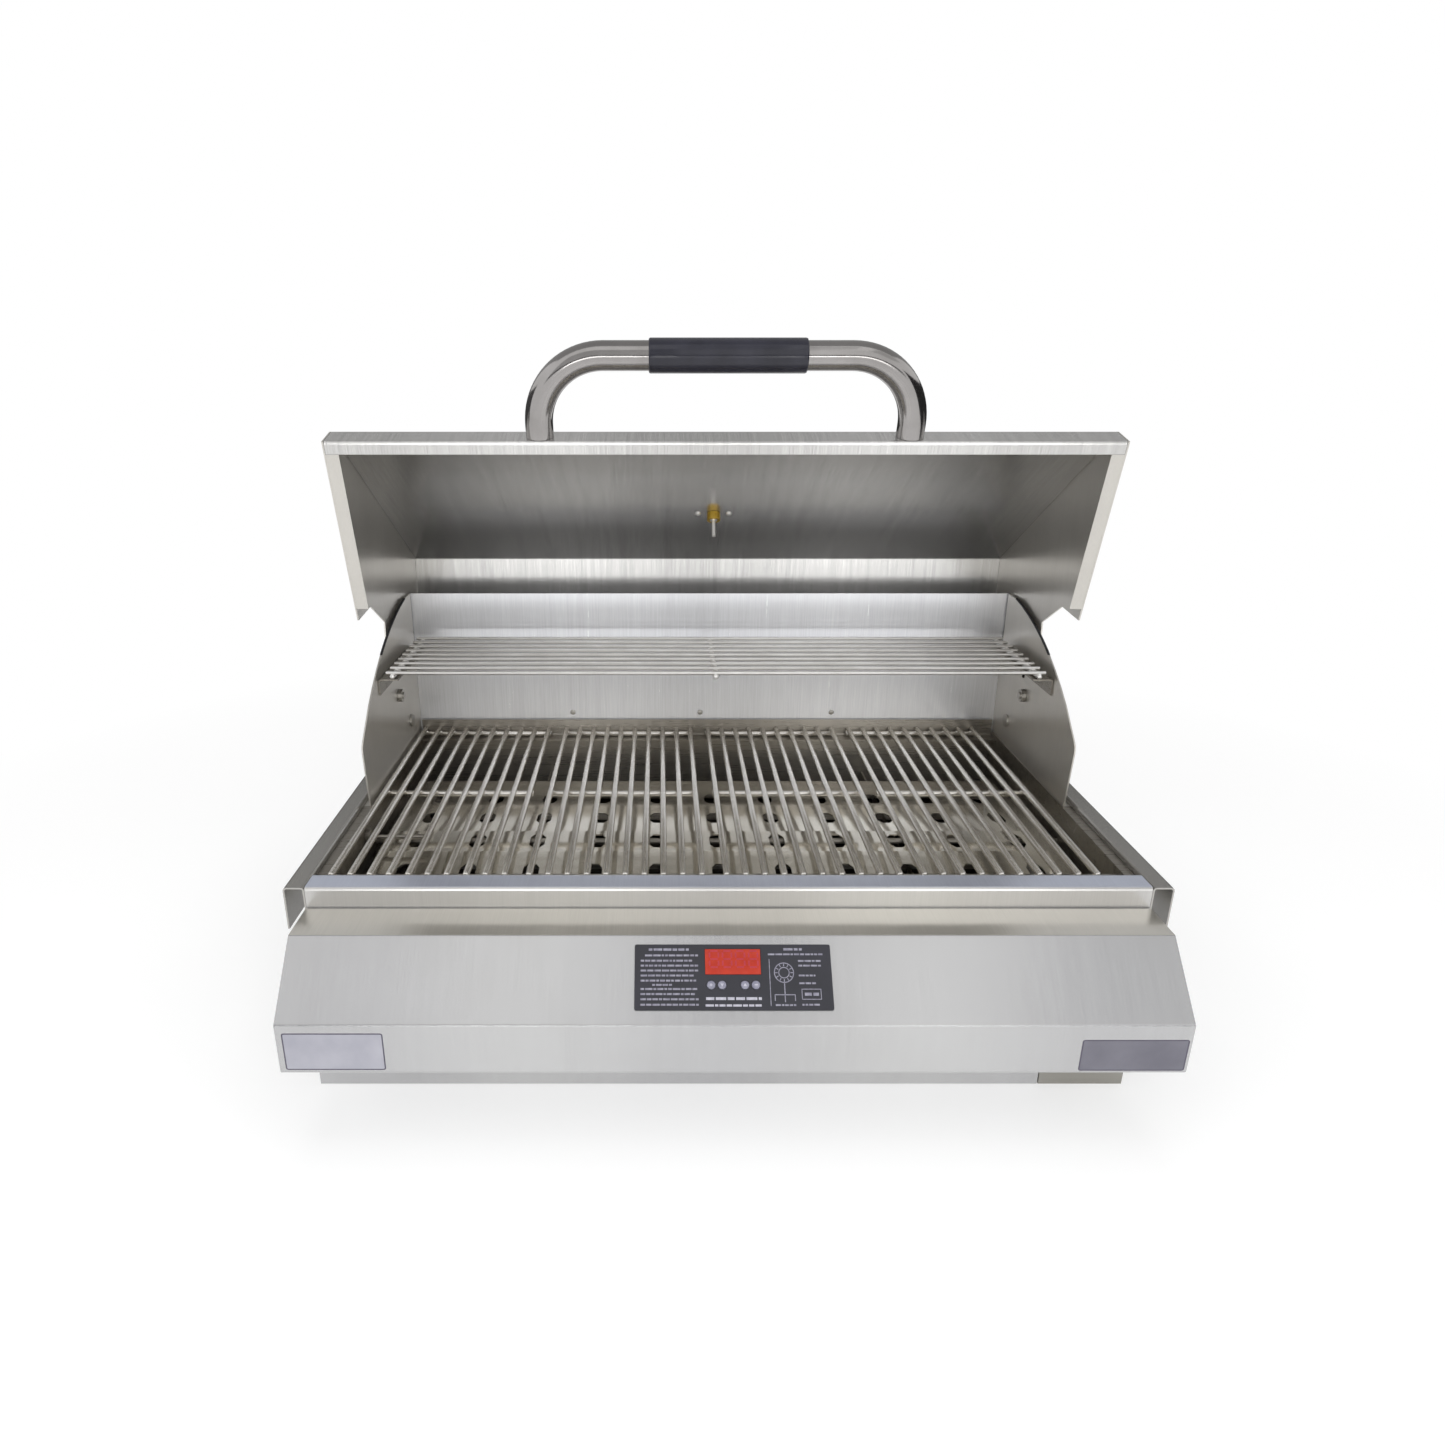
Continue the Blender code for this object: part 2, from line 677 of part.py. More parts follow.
def add_liner():
    """Inner firebox: four walls, a ledge along each front side and a funnel above the tray."""
    low = LEDGE_Z - SHEET - LINER_DEPTH
    shape = box_shape((-LINER_HALF, LINER_FRONT, low), (LINER_HALF, LINER_BACK, LEDGE_Z - SHEET))
    lost = [face for face in shape.faces if abs(face.normal.z) > 0.5]
    bmesh.ops.delete(shape, geom=lost, context="FACES_ONLY")
    bmesh.ops.bisect_plane(
        shape, geom=shape.verts[:] + shape.edges[:] + shape.faces[:], dist=WELD,
        plane_co=(0, CHEEK_FRONT - GAP, 0), plane_no=(0, 1, 0),
    )
    rim = [
        edge for edge in shape.edges
        if edge.is_boundary and all(v.co.z > low + SHEET and v.co.y < CHEEK_FRONT for v in edge.verts)
        and abs(edge.verts[0].co.x - edge.verts[1].co.x) < SHEET
    ]
    grown = bmesh.ops.extrude_edge_only(shape, edges=rim)
    for item in grown["geom"]:
        if isinstance(item, bmesh.types.BMVert):
            item.co.x = math.copysign(HALF, item.co.x)
    outlet = [edge for edge in shape.edges if edge.is_boundary and all(v.co.z < low + SHEET for v in edge.verts)]
    grown = bmesh.ops.extrude_edge_only(shape, edges=outlet)
    front, back = LINER_FRONT + FUNNEL_FRONT, TRAY_BACK - FUNNEL_MARGIN
    for item in grown["geom"]:
        if isinstance(item, bmesh.types.BMVert):
            share = (item.co.y - LINER_FRONT) / (LINER_BACK - LINER_FRONT)
            item.co.y = front + share * (back - front)
            item.co.x = TRAY_LEFT + FUNNEL_MARGIN if item.co.x < 0 else TRAY_RIGHT - FUNNEL_MARGIN
            item.co.z -= FUNNEL_DEPTH
    liner = link_shape("liner", shape, STEEL)
    thicken(liner, -1)
    liner.modifiers["sheet_thickness"].solidify_mode = "NON_MANIFOLD"
    liner.modifiers["sheet_thickness"].nonmanifold_thickness_mode = "CONSTRAINTS"
    for k, x in enumerate((ELEMENT_RIGHT_REACH, ELEMENT_RETURN_REACH)):
        spot = (x, LINER_FRONT, ELEMENT_Z)
        combine(liner, hole_cutter(f"cut_element_{k + 1}", spot, (0, 1, 0), ELEMENT_RADIUS + GAP, 2 * OVERRUN))
    sensor = (-LINER_HALF, SENSOR_Y, TOP - SENSOR_BELOW)
    combine(liner, hole_cutter("cut_sensor", sensor, (1, 0, 0), SENSOR_THREAD_RADIUS + GAP, 2 * OVERRUN))


def cheek_outline():
    """Side outline of a cheek, from its skirt up the leaning nose and over the crown."""
    bottom = LEDGE_Z - CHEEK_SKIRT
    back = BACK_WALL - GAP
    nose = (CHEEK_FRONT - CHEEK_LEAN, TOP + CHEEK_NOSE_HEIGHT)
    crown = (back - CHEEK_FLAT_TOP, TOP + CHEEK_TOP_HEIGHT)
    upper = arc_between(nose, crown, CHEEK_CROWN_RADIUS, CHEEK_CROWN_STEPS)
    blunt = rounded([(CHEEK_FRONT, LEDGE_Z), upper[0], upper[2]], CHEEK_NOSE_RADIUS)[1:-1]
    return [(back, bottom), (CHEEK_FRONT, bottom), (CHEEK_FRONT, LEDGE_Z), *blunt, *upper[2:],
            (back, TOP + CHEEK_TOP_HEIGHT)]


def stop_centre():
    """Centre of the stud on which an end plate of the open lid comes to rest, in YZ."""
    touch = tangent_angle(lid_point(LID_TAIL_BEHIND, LID_TAIL_HEIGHT), (0, 0), LID_LOBE_RADIUS, -1)
    outward = touch - LID_OPEN_ANGLE
    along = outward + math.pi / 2
    away = LID_LOBE_RADIUS + GAP + STOP_RADIUS
    return (
        HINGE_Y + STOP_REACH * math.cos(along) + away * math.cos(outward),
        HINGE_Z + STOP_REACH * math.sin(along) + away * math.sin(outward),
    )


def add_cheeks():
    """Upright side plates with a foot on the body's rim, holes for the hinge and the lid stop."""
    stop = stop_centre()
    for name, side in (("left_cheek", -1), ("right_cheek", 1)):
        frame = at(x=side * (CHEEK_INNER + SHEET / 2)) @ UPRIGHT
        holes = (
            ring_points((HINGE_Y, HINGE_Z), HINGE_THREAD_RADIUS + GAP),
            ring_points(stop, STOP_RADIUS + GAP),
        )
        cheek = as_mesh(flat_plate(name, cheek_outline(), SHEET, STEEL, holes, frame), STEEL)
        foot_near, foot_far = side * (CHEEK_OUTER - OVERLAP), side * HALF
        combine(cheek, box(
            f"join_foot_{name}",
            (min(foot_near, foot_far), CHEEK_FRONT + OVERLAP, LEDGE_Z - SHEET),
            (max(foot_near, foot_far), BACK_WALL - GAP - OVERLAP, LEDGE_Z),
        ), "UNION")


def add_back_wall():
    """Upright rear plate with its step."""
    path = [
        (BACK_WALL, LEDGE_Z - CHEEK_SKIRT),
        (BACK_WALL, TOP + BACK_STEP_HEIGHT),
        (BACK_WALL + BACK_STEP_DEPTH, TOP + BACK_STEP_HEIGHT + BACK_STEP_DEPTH),
        (BACK_WALL + BACK_STEP_DEPTH, TOP + CHEEK_TOP_HEIGHT),
    ]
    bent_sheet("back_wall", path, -CHEEK_OUTER, CHEEK_OUTER, STEEL, left=False)


def add_flanges_and_rail():
    """Inverted-U channels along the sides and the folded strip across the front."""
    near, far = HALF + GAP, HALF + GAP + FLANGE_WIDTH
    path = rounded([(near, TOP - FLANGE_INNER_LEG), (near, TOP), (far, TOP), (far, TOP - FLANGE_LIP)])
    bent_sheet("right_side_flange", path, RAIL_Y, BACK, STEEL, axis="Y", left=False)
    bent_sheet("left_side_flange", mirrored(path), RAIL_Y, BACK, STEEL, axis="Y", left=True)
    path = rounded([
        (RAIL_Y, TOP - RAIL_FACE_HEIGHT), (RAIL_Y, TOP), (RAIL_BACK, TOP), (RAIL_BACK, TOP - RAIL_INNER_LEG),
    ])
    bent_sheet("front_rail", path, -HALF, HALF, STEEL, left=False)


def panel_frame():
    """Axes of the control panel: x across, y up the slope and z outward."""
    upward = Vector((0, SLOPE_DEPTH, SLOPE_HEIGHT)).normalized()
    centre = Vector((0, SLOPE_TOP_Y, SHELF_Z)) - upward * PANEL_DOWN
    across = Vector((1, 0, 0))
    axes = Matrix((across, upward, across.cross(upward))).transposed()
    return Matrix.Translation(centre) @ axes.to_4x4()


def housing_path():
    """Outer outline of the control housing, from the shelf's rear return to the floor's."""
    return [
        (HOUSING_BACK, SHELF_Z - HOUSING_RETURN), (HOUSING_BACK, SHELF_Z), (SLOPE_TOP_Y, SHELF_Z),
        (VALANCE_Y, VALANCE_TOP), (VALANCE_Y, VALANCE_BOTTOM), (FRONT - GAP, VALANCE_BOTTOM),
        (FRONT - GAP, VALANCE_BOTTOM + HOUSING_RETURN),
    ]


def add_control_housing():
    """Bent housing with a shelf, slope, valance and floor, and its two end plates."""
    housing = bent_sheet("control_housing", rounded(housing_path()), -HALF, HALF, STEEL, left=True)
    seat = (PANEL_WIDTH / 2 - PANEL_SIDE_SEAT, PANEL_LENGTH / 2 - PANEL_END_SEAT)
    combine(housing, box(
        "cut_panel_seat", (-seat[0], -seat[1], -SHEET - OVERRUN), (seat[0], seat[1], OVERRUN),
        frame=panel_frame(),
    ))
    inset = SHEET + GAP
    slope = math.atan2(SLOPE_HEIGHT, SLOPE_DEPTH)
    shelf_trim = inset * math.tan(slope / 2)
    valance_trim = inset * math.tan((math.pi / 2 - slope) / 2)
    outline = rounded([
        (RAIL_Y - GAP - inset, SHELF_Z - inset), (SLOPE_TOP_Y + shelf_trim, SHELF_Z - inset),
        (VALANCE_Y + inset, VALANCE_TOP - valance_trim), (VALANCE_Y + inset, VALANCE_BOTTOM + inset),
        (RAIL_Y - GAP - inset, VALANCE_BOTTOM + inset),
    ], closed=True)
    for name, side in (("left_housing_end", -1), ("right_housing_end", 1)):
        flat_plate(name, outline, SHEET, STEEL, frame=at(x=side * (HALF - SHEET / 2)) @ UPRIGHT)


def rectangle(width, length, centre=(0, 0), corner=0.0):
    """Corners of a rectangle, rounded when a corner radius is given."""
    x, y = centre
    a, b = width / 2, length / 2
    points = [(x - a, y - b), (x + a, y - b), (x + a, y + b), (x - a, y + b)]
    return rounded(points, corner, closed=True) if corner else points


def button_places():
    """Centres of the four buttons on the panel."""
    return [(x, -BUTTON_DOWN) for x in (-BUTTON_OUTER, -BUTTON_INNER, BUTTON_INNER, BUTTON_OUTER)]


def add_control_panel():
    """Label plate, display window, four buttons and the circuit board behind them."""
    frame = panel_frame()
    window = (0, WINDOW_UP)
    face = GAP + PANEL_THICKNESS
    holes = [rectangle(WINDOW_WIDTH, WINDOW_LENGTH, window)]
    holes += [ring_points(spot, BUTTON_RADIUS + GAP, BUTTON_SIDES) for spot in button_places()]
    flat_plate(
        "control_panel_plate", rectangle(PANEL_WIDTH, PANEL_LENGTH, corner=PANEL_CORNER), PANEL_THICKNESS,
        LABEL, holes, frame @ at(z=GAP + PANEL_THICKNESS / 2),
    )
    half_width, half_length = WINDOW_WIDTH / 2 - GAP, WINDOW_LENGTH / 2 - GAP
    box(
        "display_window",
        (-half_width, WINDOW_UP - half_length, face - WINDOW_THICKNESS), (half_width, WINDOW_UP + half_length, face),
        RED, frame,
    )
    for k, (x, y) in enumerate(button_places()):
        turned(f"button_{k + 1}", [
            (0, face + BUTTON_PROUD), (BUTTON_RADIUS - BUTTON_EDGE, face + BUTTON_PROUD),
            (BUTTON_RADIUS, face + BUTTON_PROUD - BUTTON_EDGE), (BUTTON_RADIUS, 0),
            (BUTTON_RADIUS + BUTTON_COLLAR_WIDTH, 0),
            (BUTTON_RADIUS + BUTTON_COLLAR_WIDTH, -BUTTON_COLLAR_HEIGHT), (0, -BUTTON_COLLAR_HEIGHT),
        ], KEYS, frame @ at(x, y), BUTTON_SIDES)
    add_circuit_board(frame, face - WINDOW_THICKNESS - GAP)


def add_circuit_board(frame, display_top):
    """Board on four standoffs, with the display block and one switch under each button."""
    top = -BOARD_BEHIND
    board = box(
        "circuit_board", (-BOARD_WIDTH / 2, -BOARD_LENGTH / 2, top - BOARD_THICKNESS),
        (BOARD_WIDTH / 2, BOARD_LENGTH / 2, top), BOARD, frame,
    )
    sunk = top - BOARD_THICKNESS / 2
    combine(board, box(
        "join_display", (-WINDOW_WIDTH / 2, WINDOW_UP - WINDOW_LENGTH / 2, sunk),
        (WINDOW_WIDTH / 2, WINDOW_UP + WINDOW_LENGTH / 2 - OVERLAP, display_top), frame=frame,
    ), "UNION")
    switch_top = -BUTTON_COLLAR_HEIGHT - BUTTON_TRAVEL - GAP
    for k, (x, y) in enumerate(button_places()):
        combine(board, box(
            f"join_switch_{k + 1}", (x - SWITCH_SIZE / 2, y - SWITCH_SIZE / 2, sunk),
            (x + SWITCH_SIZE / 2, y + SWITCH_SIZE / 2, switch_top), frame=frame,
        ), "UNION")
    x, y = BOARD_WIDTH / 2 - STANDOFF_INSET, BOARD_LENGTH / 2 - STANDOFF_INSET
    for k, (a, b) in enumerate(((-x, -y), (x, -y), (-x, y), (x, y))):
        post = rods(f"join_standoff_{k + 1}", [((a, b, sunk), (a, b, -SHEET - GAP))], STANDOFF_RADIUS, 10)
        post.matrix_world = frame
        combine(board, post, "UNION")


def add_grates():
    """Four grates of ten rods on three cross bars, lying side by side."""
    half = (RODS_PER_GRATE - 1) / 2
    flat_down = math.pi / ROD_SIDES
    xs = [(k - half) * ROD_PITCH for k in range(RODS_PER_GRATE)]
    length_rods = rods(
        "grate_rods", [((x, 0, 0), (x, GRATE_LENGTH, 0)) for x in xs], ROD_RADIUS, ROD_SIDES, ROD_STEEL, flat_down,
    )
    reach = half * ROD_PITCH + ROD_RADIUS + BAR_OVERHANG
    drop = ROD_Z - BAR_Z
    insets = (BAR_FRONT_INSET, BAR_MIDDLE_INSET, GRATE_LENGTH - BAR_BACK_INSET)
    bars = rods("join_bars", [((-reach, y, -drop), (reach, y, -drop)) for y in insets], ROD_RADIUS, BAR_SIDES)
    pattern = as_mesh(combine(length_rods, bars, "UNION"), ROD_STEEL)
    for k in range(GRATE_COUNT):
        x = (k - (GRATE_COUNT - 1) / 2) * GRATE_PITCH + GRATE_SHIFT
        link(f"grate_{k + 1}", pattern.data, ROD_STEEL, at(x, GRATE_FRONT, ROD_Z))
    bpy.data.objects.remove(pattern, do_unlink=True)


def add_grate_ledges():
    """Angle strips along the front and back of the liner that carry the grates."""
    reach = LINER_INNER_HALF - GAP
    near, far = LINER_INNER_FRONT + GAP, LINER_INNER_BACK - GAP
    path = [(near, GRATE_SEAT - LEDGE_FRONT_LEG), (near, GRATE_SEAT), (near + LEDGE_SHELF, GRATE_SEAT)]
    bent_sheet("front_grate_ledge", rounded(path), -reach, reach, STEEL, left=False)
    path = [(far - LEDGE_SHELF, GRATE_SEAT - SHEET), (far, GRATE_SEAT - SHEET), (far, TOP + LEDGE_UPSTAND)]
    bent_sheet("rear_grate_ledge", rounded(path), -reach, reach, STEEL, left=True)


def slot_outline(x, y):
    """Round-ended slot in plan, longer from front to back."""
    straight = SLOT_LENGTH / 2 - SLOT_RADIUS
    return [
        *arc((x, y + straight), SLOT_RADIUS, 0, math.pi, SLOT_END_STEPS),
        *arc((x, y - straight), SLOT_RADIUS, math.pi, 2 * math.pi, SLOT_END_STEPS),
    ]


def shield_height(y):
    """Height of the shield's upper face at a distance from its middle."""
    return SHIELD_Z - SHIELD_FALL_SHARE * max(0, abs(y) - SHIELD_STRIP / 2)


def add_heat_shield():
    """Folded plate with rows of slots, on three rods across the liner."""
    front, back = -SHIELD_STRIP / 2 - SHIELD_FRONT_RUN, SHIELD_STRIP / 2 + SHIELD_REAR_RUN
    path = [
        (front, shield_height(front) - SHIELD_EDGE), (front, shield_height(front)),
        (-SHIELD_STRIP / 2, SHIELD_Z), (SHIELD_STRIP / 2, SHIELD_Z),
        (back, shield_height(back)), (back, shield_height(back) - SHIELD_EDGE),
    ]
    shield = bent_sheet(
        "heat_shield", [(SHIELD_Y + y, z) for y, z in path],
        -SHIELD_HALF_WIDTH, SHIELD_HALF_WIDTH, BRIGHT, left=False,
    )
    low, high = SHIELD_Z - SHIELD_EDGE - OVERRUN, SHIELD_Z + OVERRUN
    low -= SHIELD_FALL_SHARE * SHIELD_REAR_RUN
    middle = SHIELD_Y + SLOTS_BEHIND_STRIP
    slots = [
        slot_outline((k - (SLOT_COLUMNS - 1) / 2) * SLOT_PITCH_X, middle + (row - (SLOT_ROWS - 1) / 2) * SLOT_PITCH_Y)
        for k in range(SLOT_COLUMNS) for row in range(SLOT_ROWS)
    ]
    combine(shield, prisms("cut_shield_slots", slots, low, high))
    reach = LINER_INNER_HALF - GAP
    for name, share in zip(("front", "middle", "rear"), SHIELD_ROD_SHARES):
        y = share * (SHIELD_FRONT_RUN + SHIELD_REAR_RUN)
        z = shield_height(y) - SHEET - 2 * GAP - SHIELD_ROD_RADIUS
        made = rods(
            f"shield_rod_{name}", [((-reach, SHIELD_Y + y, z), (reach, SHIELD_Y + y, z))],
            SHIELD_ROD_RADIUS, ROD_SIDES, ROD_STEEL,
        )
        smooth(made)


def element_route():
    """Plan of the serpentine element, from its return leg to its first run's exit."""
    end = FRONT + SHEET + 2 * GAP + TERMINAL_DEPTH
    turn = ELEMENT_PITCH / 2
    last = ELEMENT_Y + (ELEMENT_RUNS - 1) * ELEMENT_PITCH
    route = [(ELEMENT_RETURN_REACH, end)]
    route += arc((ELEMENT_RETURN_REACH - turn, last - turn), turn, 0, math.pi / 2, ELEMENT_TURN_STEPS // 2)
    for run in range(ELEMENT_RUNS - 1):
        y = last - run * ELEMENT_PITCH - turn
        if run % 2:
            route += arc((ELEMENT_RIGHT_REACH - turn, y), turn, math.pi / 2, -math.pi / 2, ELEMENT_TURN_STEPS)
        else:
            route += arc((turn - ELEMENT_LEFT_REACH, y), turn, math.pi / 2, 3 * math.pi / 2, ELEMENT_TURN_STEPS)
    bend = ELEMENT_EXIT_RADIUS
    route += arc((ELEMENT_RIGHT_REACH - bend, ELEMENT_Y - bend), bend, math.pi / 2, 0, ELEMENT_TURN_STEPS // 2)
    route.append((ELEMENT_RIGHT_REACH, end))
    return route


def add_heating_element():
    """Tubular element, two notched supports and the terminal block between liner and body."""
    tube("heating_element", [(x, y, ELEMENT_Z) for x, y in element_route()], ELEMENT_RADIUS, SHEATH)
    low, high = LINER_INNER_FRONT + GAP, LINER_INNER_BACK - GAP
    outline = rectangle(high - low, SUPPORT_HEIGHT, ((low + high) / 2, ELEMENT_Z))
    holes = [
        ring_points((ELEMENT_Y + k * ELEMENT_PITCH, ELEMENT_Z), ELEMENT_RADIUS + GAP, 8)
        for k in range(ELEMENT_RUNS)
    ]
    for name, side in (("element_support_left", -1), ("element_support_right", 1)):
        flat_plate(name, outline, SUPPORT_THICKNESS, STEEL, holes, at(x=side * SUPPORT_OFFSET) @ UPRIGHT)
    middle = (ELEMENT_RIGHT_REACH + ELEMENT_RETURN_REACH) / 2
    near = FRONT + SHEET + GAP
    box(
        "element_terminal_block",
        (middle - TERMINAL_WIDTH / 2, near, ELEMENT_Z - TERMINAL_HEIGHT / 2),
        (middle + TERMINAL_WIDTH / 2, near + TERMINAL_DEPTH, ELEMENT_Z + TERMINAL_HEIGHT / 2), CERAMIC,
    )


def add_temperature_sensor():
    """Probe screwed through the liner's left wall, just above the shield."""
    wall = -LINER_INNER_HALF + GAP
    head = SENSOR_HEAD_LENGTH
    profile = [
        (0, head + SENSOR_LENGTH), (SENSOR_RADIUS, head + SENSOR_LENGTH), (SENSOR_RADIUS, head),
        (SENSOR_HEAD_RADIUS, head), (SENSOR_HEAD_RADIUS, 0), (SENSOR_THREAD_RADIUS, 0),
        (SENSOR_THREAD_RADIUS, -SENSOR_THREAD_LENGTH), (0, -SENSOR_THREAD_LENGTH),
    ]
    spot = at(wall, SENSOR_Y, TOP - SENSOR_BELOW)
    turned("temperature_sensor", profile, BRASS, spot @ ALONG_X, 12)


def add_drip_tray():
    """Sliding tray with its front, the runners under it and the junction box beside it."""
    fascia = open_box(
        "join_fascia", (-HALF, FASCIA_Y, FASCIA_BOTTOM), (FASCIA_SPLIT, FRONT - GAP, FASCIA_TOP), STEEL, (0, 1, 0),
    )
    tray = open_box(
        "drip_tray", (TRAY_LEFT, FASCIA_Y + TRAY_LAP, TRAY_BOTTOM), (TRAY_RIGHT, TRAY_BACK, TRAY_BOTTOM + TRAY_HEIGHT),
        STEEL, (0, 0, 1),
    )
    combine(tray, fascia, "UNION")
    start, end = FRONT + SHEET + GAP, TRAY_BACK
    for name, side, edge in (("left_tray_runner", -1, TRAY_LEFT), ("right_tray_runner", 1, TRAY_RIGHT)):
        wall = edge + side * GAP
        path = [(wall - side * RUNNER_FOOT, RUNNER_TOP), (wall, RUNNER_TOP), (wall, RUNNER_TOP + RUNNER_HEIGHT)]
        bent_sheet(name, path, start, end, GREY, axis="Y", left=side < 0)
    open_box(
        "junction_box", (FASCIA_SPLIT + SEAM, FASCIA_Y, FASCIA_BOTTOM), (JUNCTION_RIGHT, FRONT - GAP, FASCIA_TOP),
        GREY, (0, 1, 0),
    )


def add_cable_gland():
    """Supply gland in the body's back wall."""
    nose = GLAND_LENGTH
    collar = GLAND_COLLAR
    profile = [
        (GLAND_BORE, nose), (GLAND_NOSE_RADIUS, nose), (GLAND_RADIUS, collar), (GLAND_RADIUS, 0),
        (GLAND_NOSE_RADIUS, 0), (GLAND_NOSE_RADIUS, -GLAND_THREAD_LENGTH), (GLAND_BORE, -GLAND_THREAD_LENGTH),
    ]
    turned("cable_gland", profile, BLACK, at(GLAND_X, BACK + GAP, GLAND_LEVEL) @ ALONG_Y, 20, ring=True)


def add_warming_rack():
    """Wire rack that rests on a bracket on each cheek."""
    frame_z = RACK_SEAT + RACK_FRAME_RADIUS
    wire_z = frame_z + RACK_FRAME_RADIUS + RACK_WIRE_RADIUS - RACK_WIRE_SINK
    back = RACK_FRONT + RACK_DEPTH
    end = RACK_FRAME_RADIUS
    bearers = [((x, RACK_FRONT - end, frame_z), (x, back + end, frame_z)) for x in (-RACK_HALF_WIDTH, 0, RACK_HALF_WIDTH)]
    rack = rods("warming_rack", bearers, RACK_FRAME_RADIUS, ROD_SIDES, ROD_STEEL, math.pi / ROD_SIDES)
    reach = RACK_HALF_WIDTH + RACK_OVERHANG
    ys = [RACK_FRONT + k * RACK_DEPTH / (RACK_WIRES - 1) for k in range(RACK_WIRES)]
    wires = rods("join_rack_wires", [((-reach, y, wire_z), (reach, y, wire_z)) for y in ys], RACK_WIRE_RADIUS, BAR_SIDES)
    combine(rack, wires, "UNION")
    top = RACK_SEAT - GAP
    wall = CHEEK_INNER - GAP
    path = [(wall, top - BRACKET_HEIGHT), (wall, top), (wall - BRACKET_SHELF, top)]
    start, stop = RACK_FRONT, back
    bent_sheet("rack_bracket_right", rounded(path), start, stop, STEEL, axis="Y", left=True)
    bent_sheet("rack_bracket_left", rounded(mirrored(path)), start, stop, STEEL, axis="Y", left=False)


def lid_point(behind, height):
    """A point of the closed lid, behind the hinge axis and above the rail, in YZ about that axis."""
    return (behind, height - HINGE_HEIGHT)


def lid_outer_path():
    """Outer outline of the closed lid, from the foot of the skirt to the rear edge."""
    return [
        lid_point(LID_FRONT, LID_REST_HEIGHT),
        lid_point(LID_FRONT, LID_REST_HEIGHT + LID_SKIRT_HEIGHT),
        lid_point(-LID_SLANT_BEFORE, LID_SLANT_HEIGHT), lid_point(LID_CROWN_BEHIND, LID_CROWN_HEIGHT),
        lid_point(LID_REAR_BEHIND, LID_REAR_HEIGHT),
    ]


def lid_end_outline():
    """Outline of a lid end: the shell's profile above, notch, waist and hinge lobe below."""
    tail = lid_point(LID_TAIL_BEHIND, LID_TAIL_HEIGHT)
    waist = lid_point(-LID_WAIST_BEFORE, LID_WAIST_HEIGHT)
    start = tangent_angle(tail, (0, 0), LID_LOBE_RADIUS, -1)
    end = tangent_angle(waist, (0, 0), LID_LOBE_RADIUS, 1) - 2 * math.pi
    return [
        *rounded(lid_outer_path()), tail, *arc((0, 0), LID_LOBE_RADIUS, start, end, LID_LOBE_STEPS),
        waist, lid_point(-LID_NOTCH_BEFORE, LID_NOTCH_HEIGHT), lid_point(-LID_HEEL_BEFORE, LID_REST_HEIGHT),
    ]


def add_lid():
    """Bent lid shell with its two end plates and their folded returns."""
    pivot = bpy.data.objects.new("lid_pivot", None)
    PARTS.objects.link(pivot)
    pivot.matrix_world = at(y=HINGE_Y, z=HINGE_Z) @ Matrix.Rotation(-LID_OPEN_ANGLE, 4, "X")
    path = [lid_point(LID_FRONT + LID_LIP_RETURN, LID_REST_HEIGHT), *lid_outer_path()]
    reach = LID_END_INNER - GAP
    shell = ride(bent_sheet("lid_shell", rounded(path), -reach, reach, STEEL, left=False), pivot)
    combine(shell, ride(hole_cutter("cut_stem", (0, 0, 0), (0, 0, 1), STEM_RADIUS + GAP, 4 * OVERRUN), pivot))
    bpy.data.objects["cut_stem"].matrix_basis = thermometer_frame()
    foot_y, foot_z = handle_foot()
    for side in (-1, 1):
        spot = (side * HANDLE_HALF_SPAN, foot_y, foot_z)
        label = "left" if side < 0 else "right"
        bore = hole_cutter(f"cut_bolt_{label}", spot, (0, 1, 0), HANDLE_BOLT_RADIUS + GAP, 2 * OVERRUN)
        combine(shell, ride(bore, pivot))
        hole = ring_points((0, 0), HINGE_SHOULDER_RADIUS + GAP, 20)
        frame = at(x=side * (LID_END_INNER + SHEET / 2)) @ UPRIGHT
        name = f"lid_end_{label}"
        end = ride(as_mesh(flat_plate(name, lid_end_outline(), SHEET, STEEL, (hole,), frame), STEEL), pivot)
        near = side * (LID_END_INNER + OVERLAP)
        far = side * (LID_END_INNER - LID_LIP_RETURN)
        front = lid_point(LID_FRONT + LID_LIP_RETURN + GAP, LID_REST_HEIGHT + OVERLAP / 2)
        back = lid_point(-LID_RETURN_BEFORE, LID_REST_HEIGHT + OVERLAP / 2 + SHEET)
        fold = box(f"join_return_{label}", (min(near, far), *front), (max(near, far), *back))
        combine(end, ride(fold, pivot), "UNION")
    return pivot


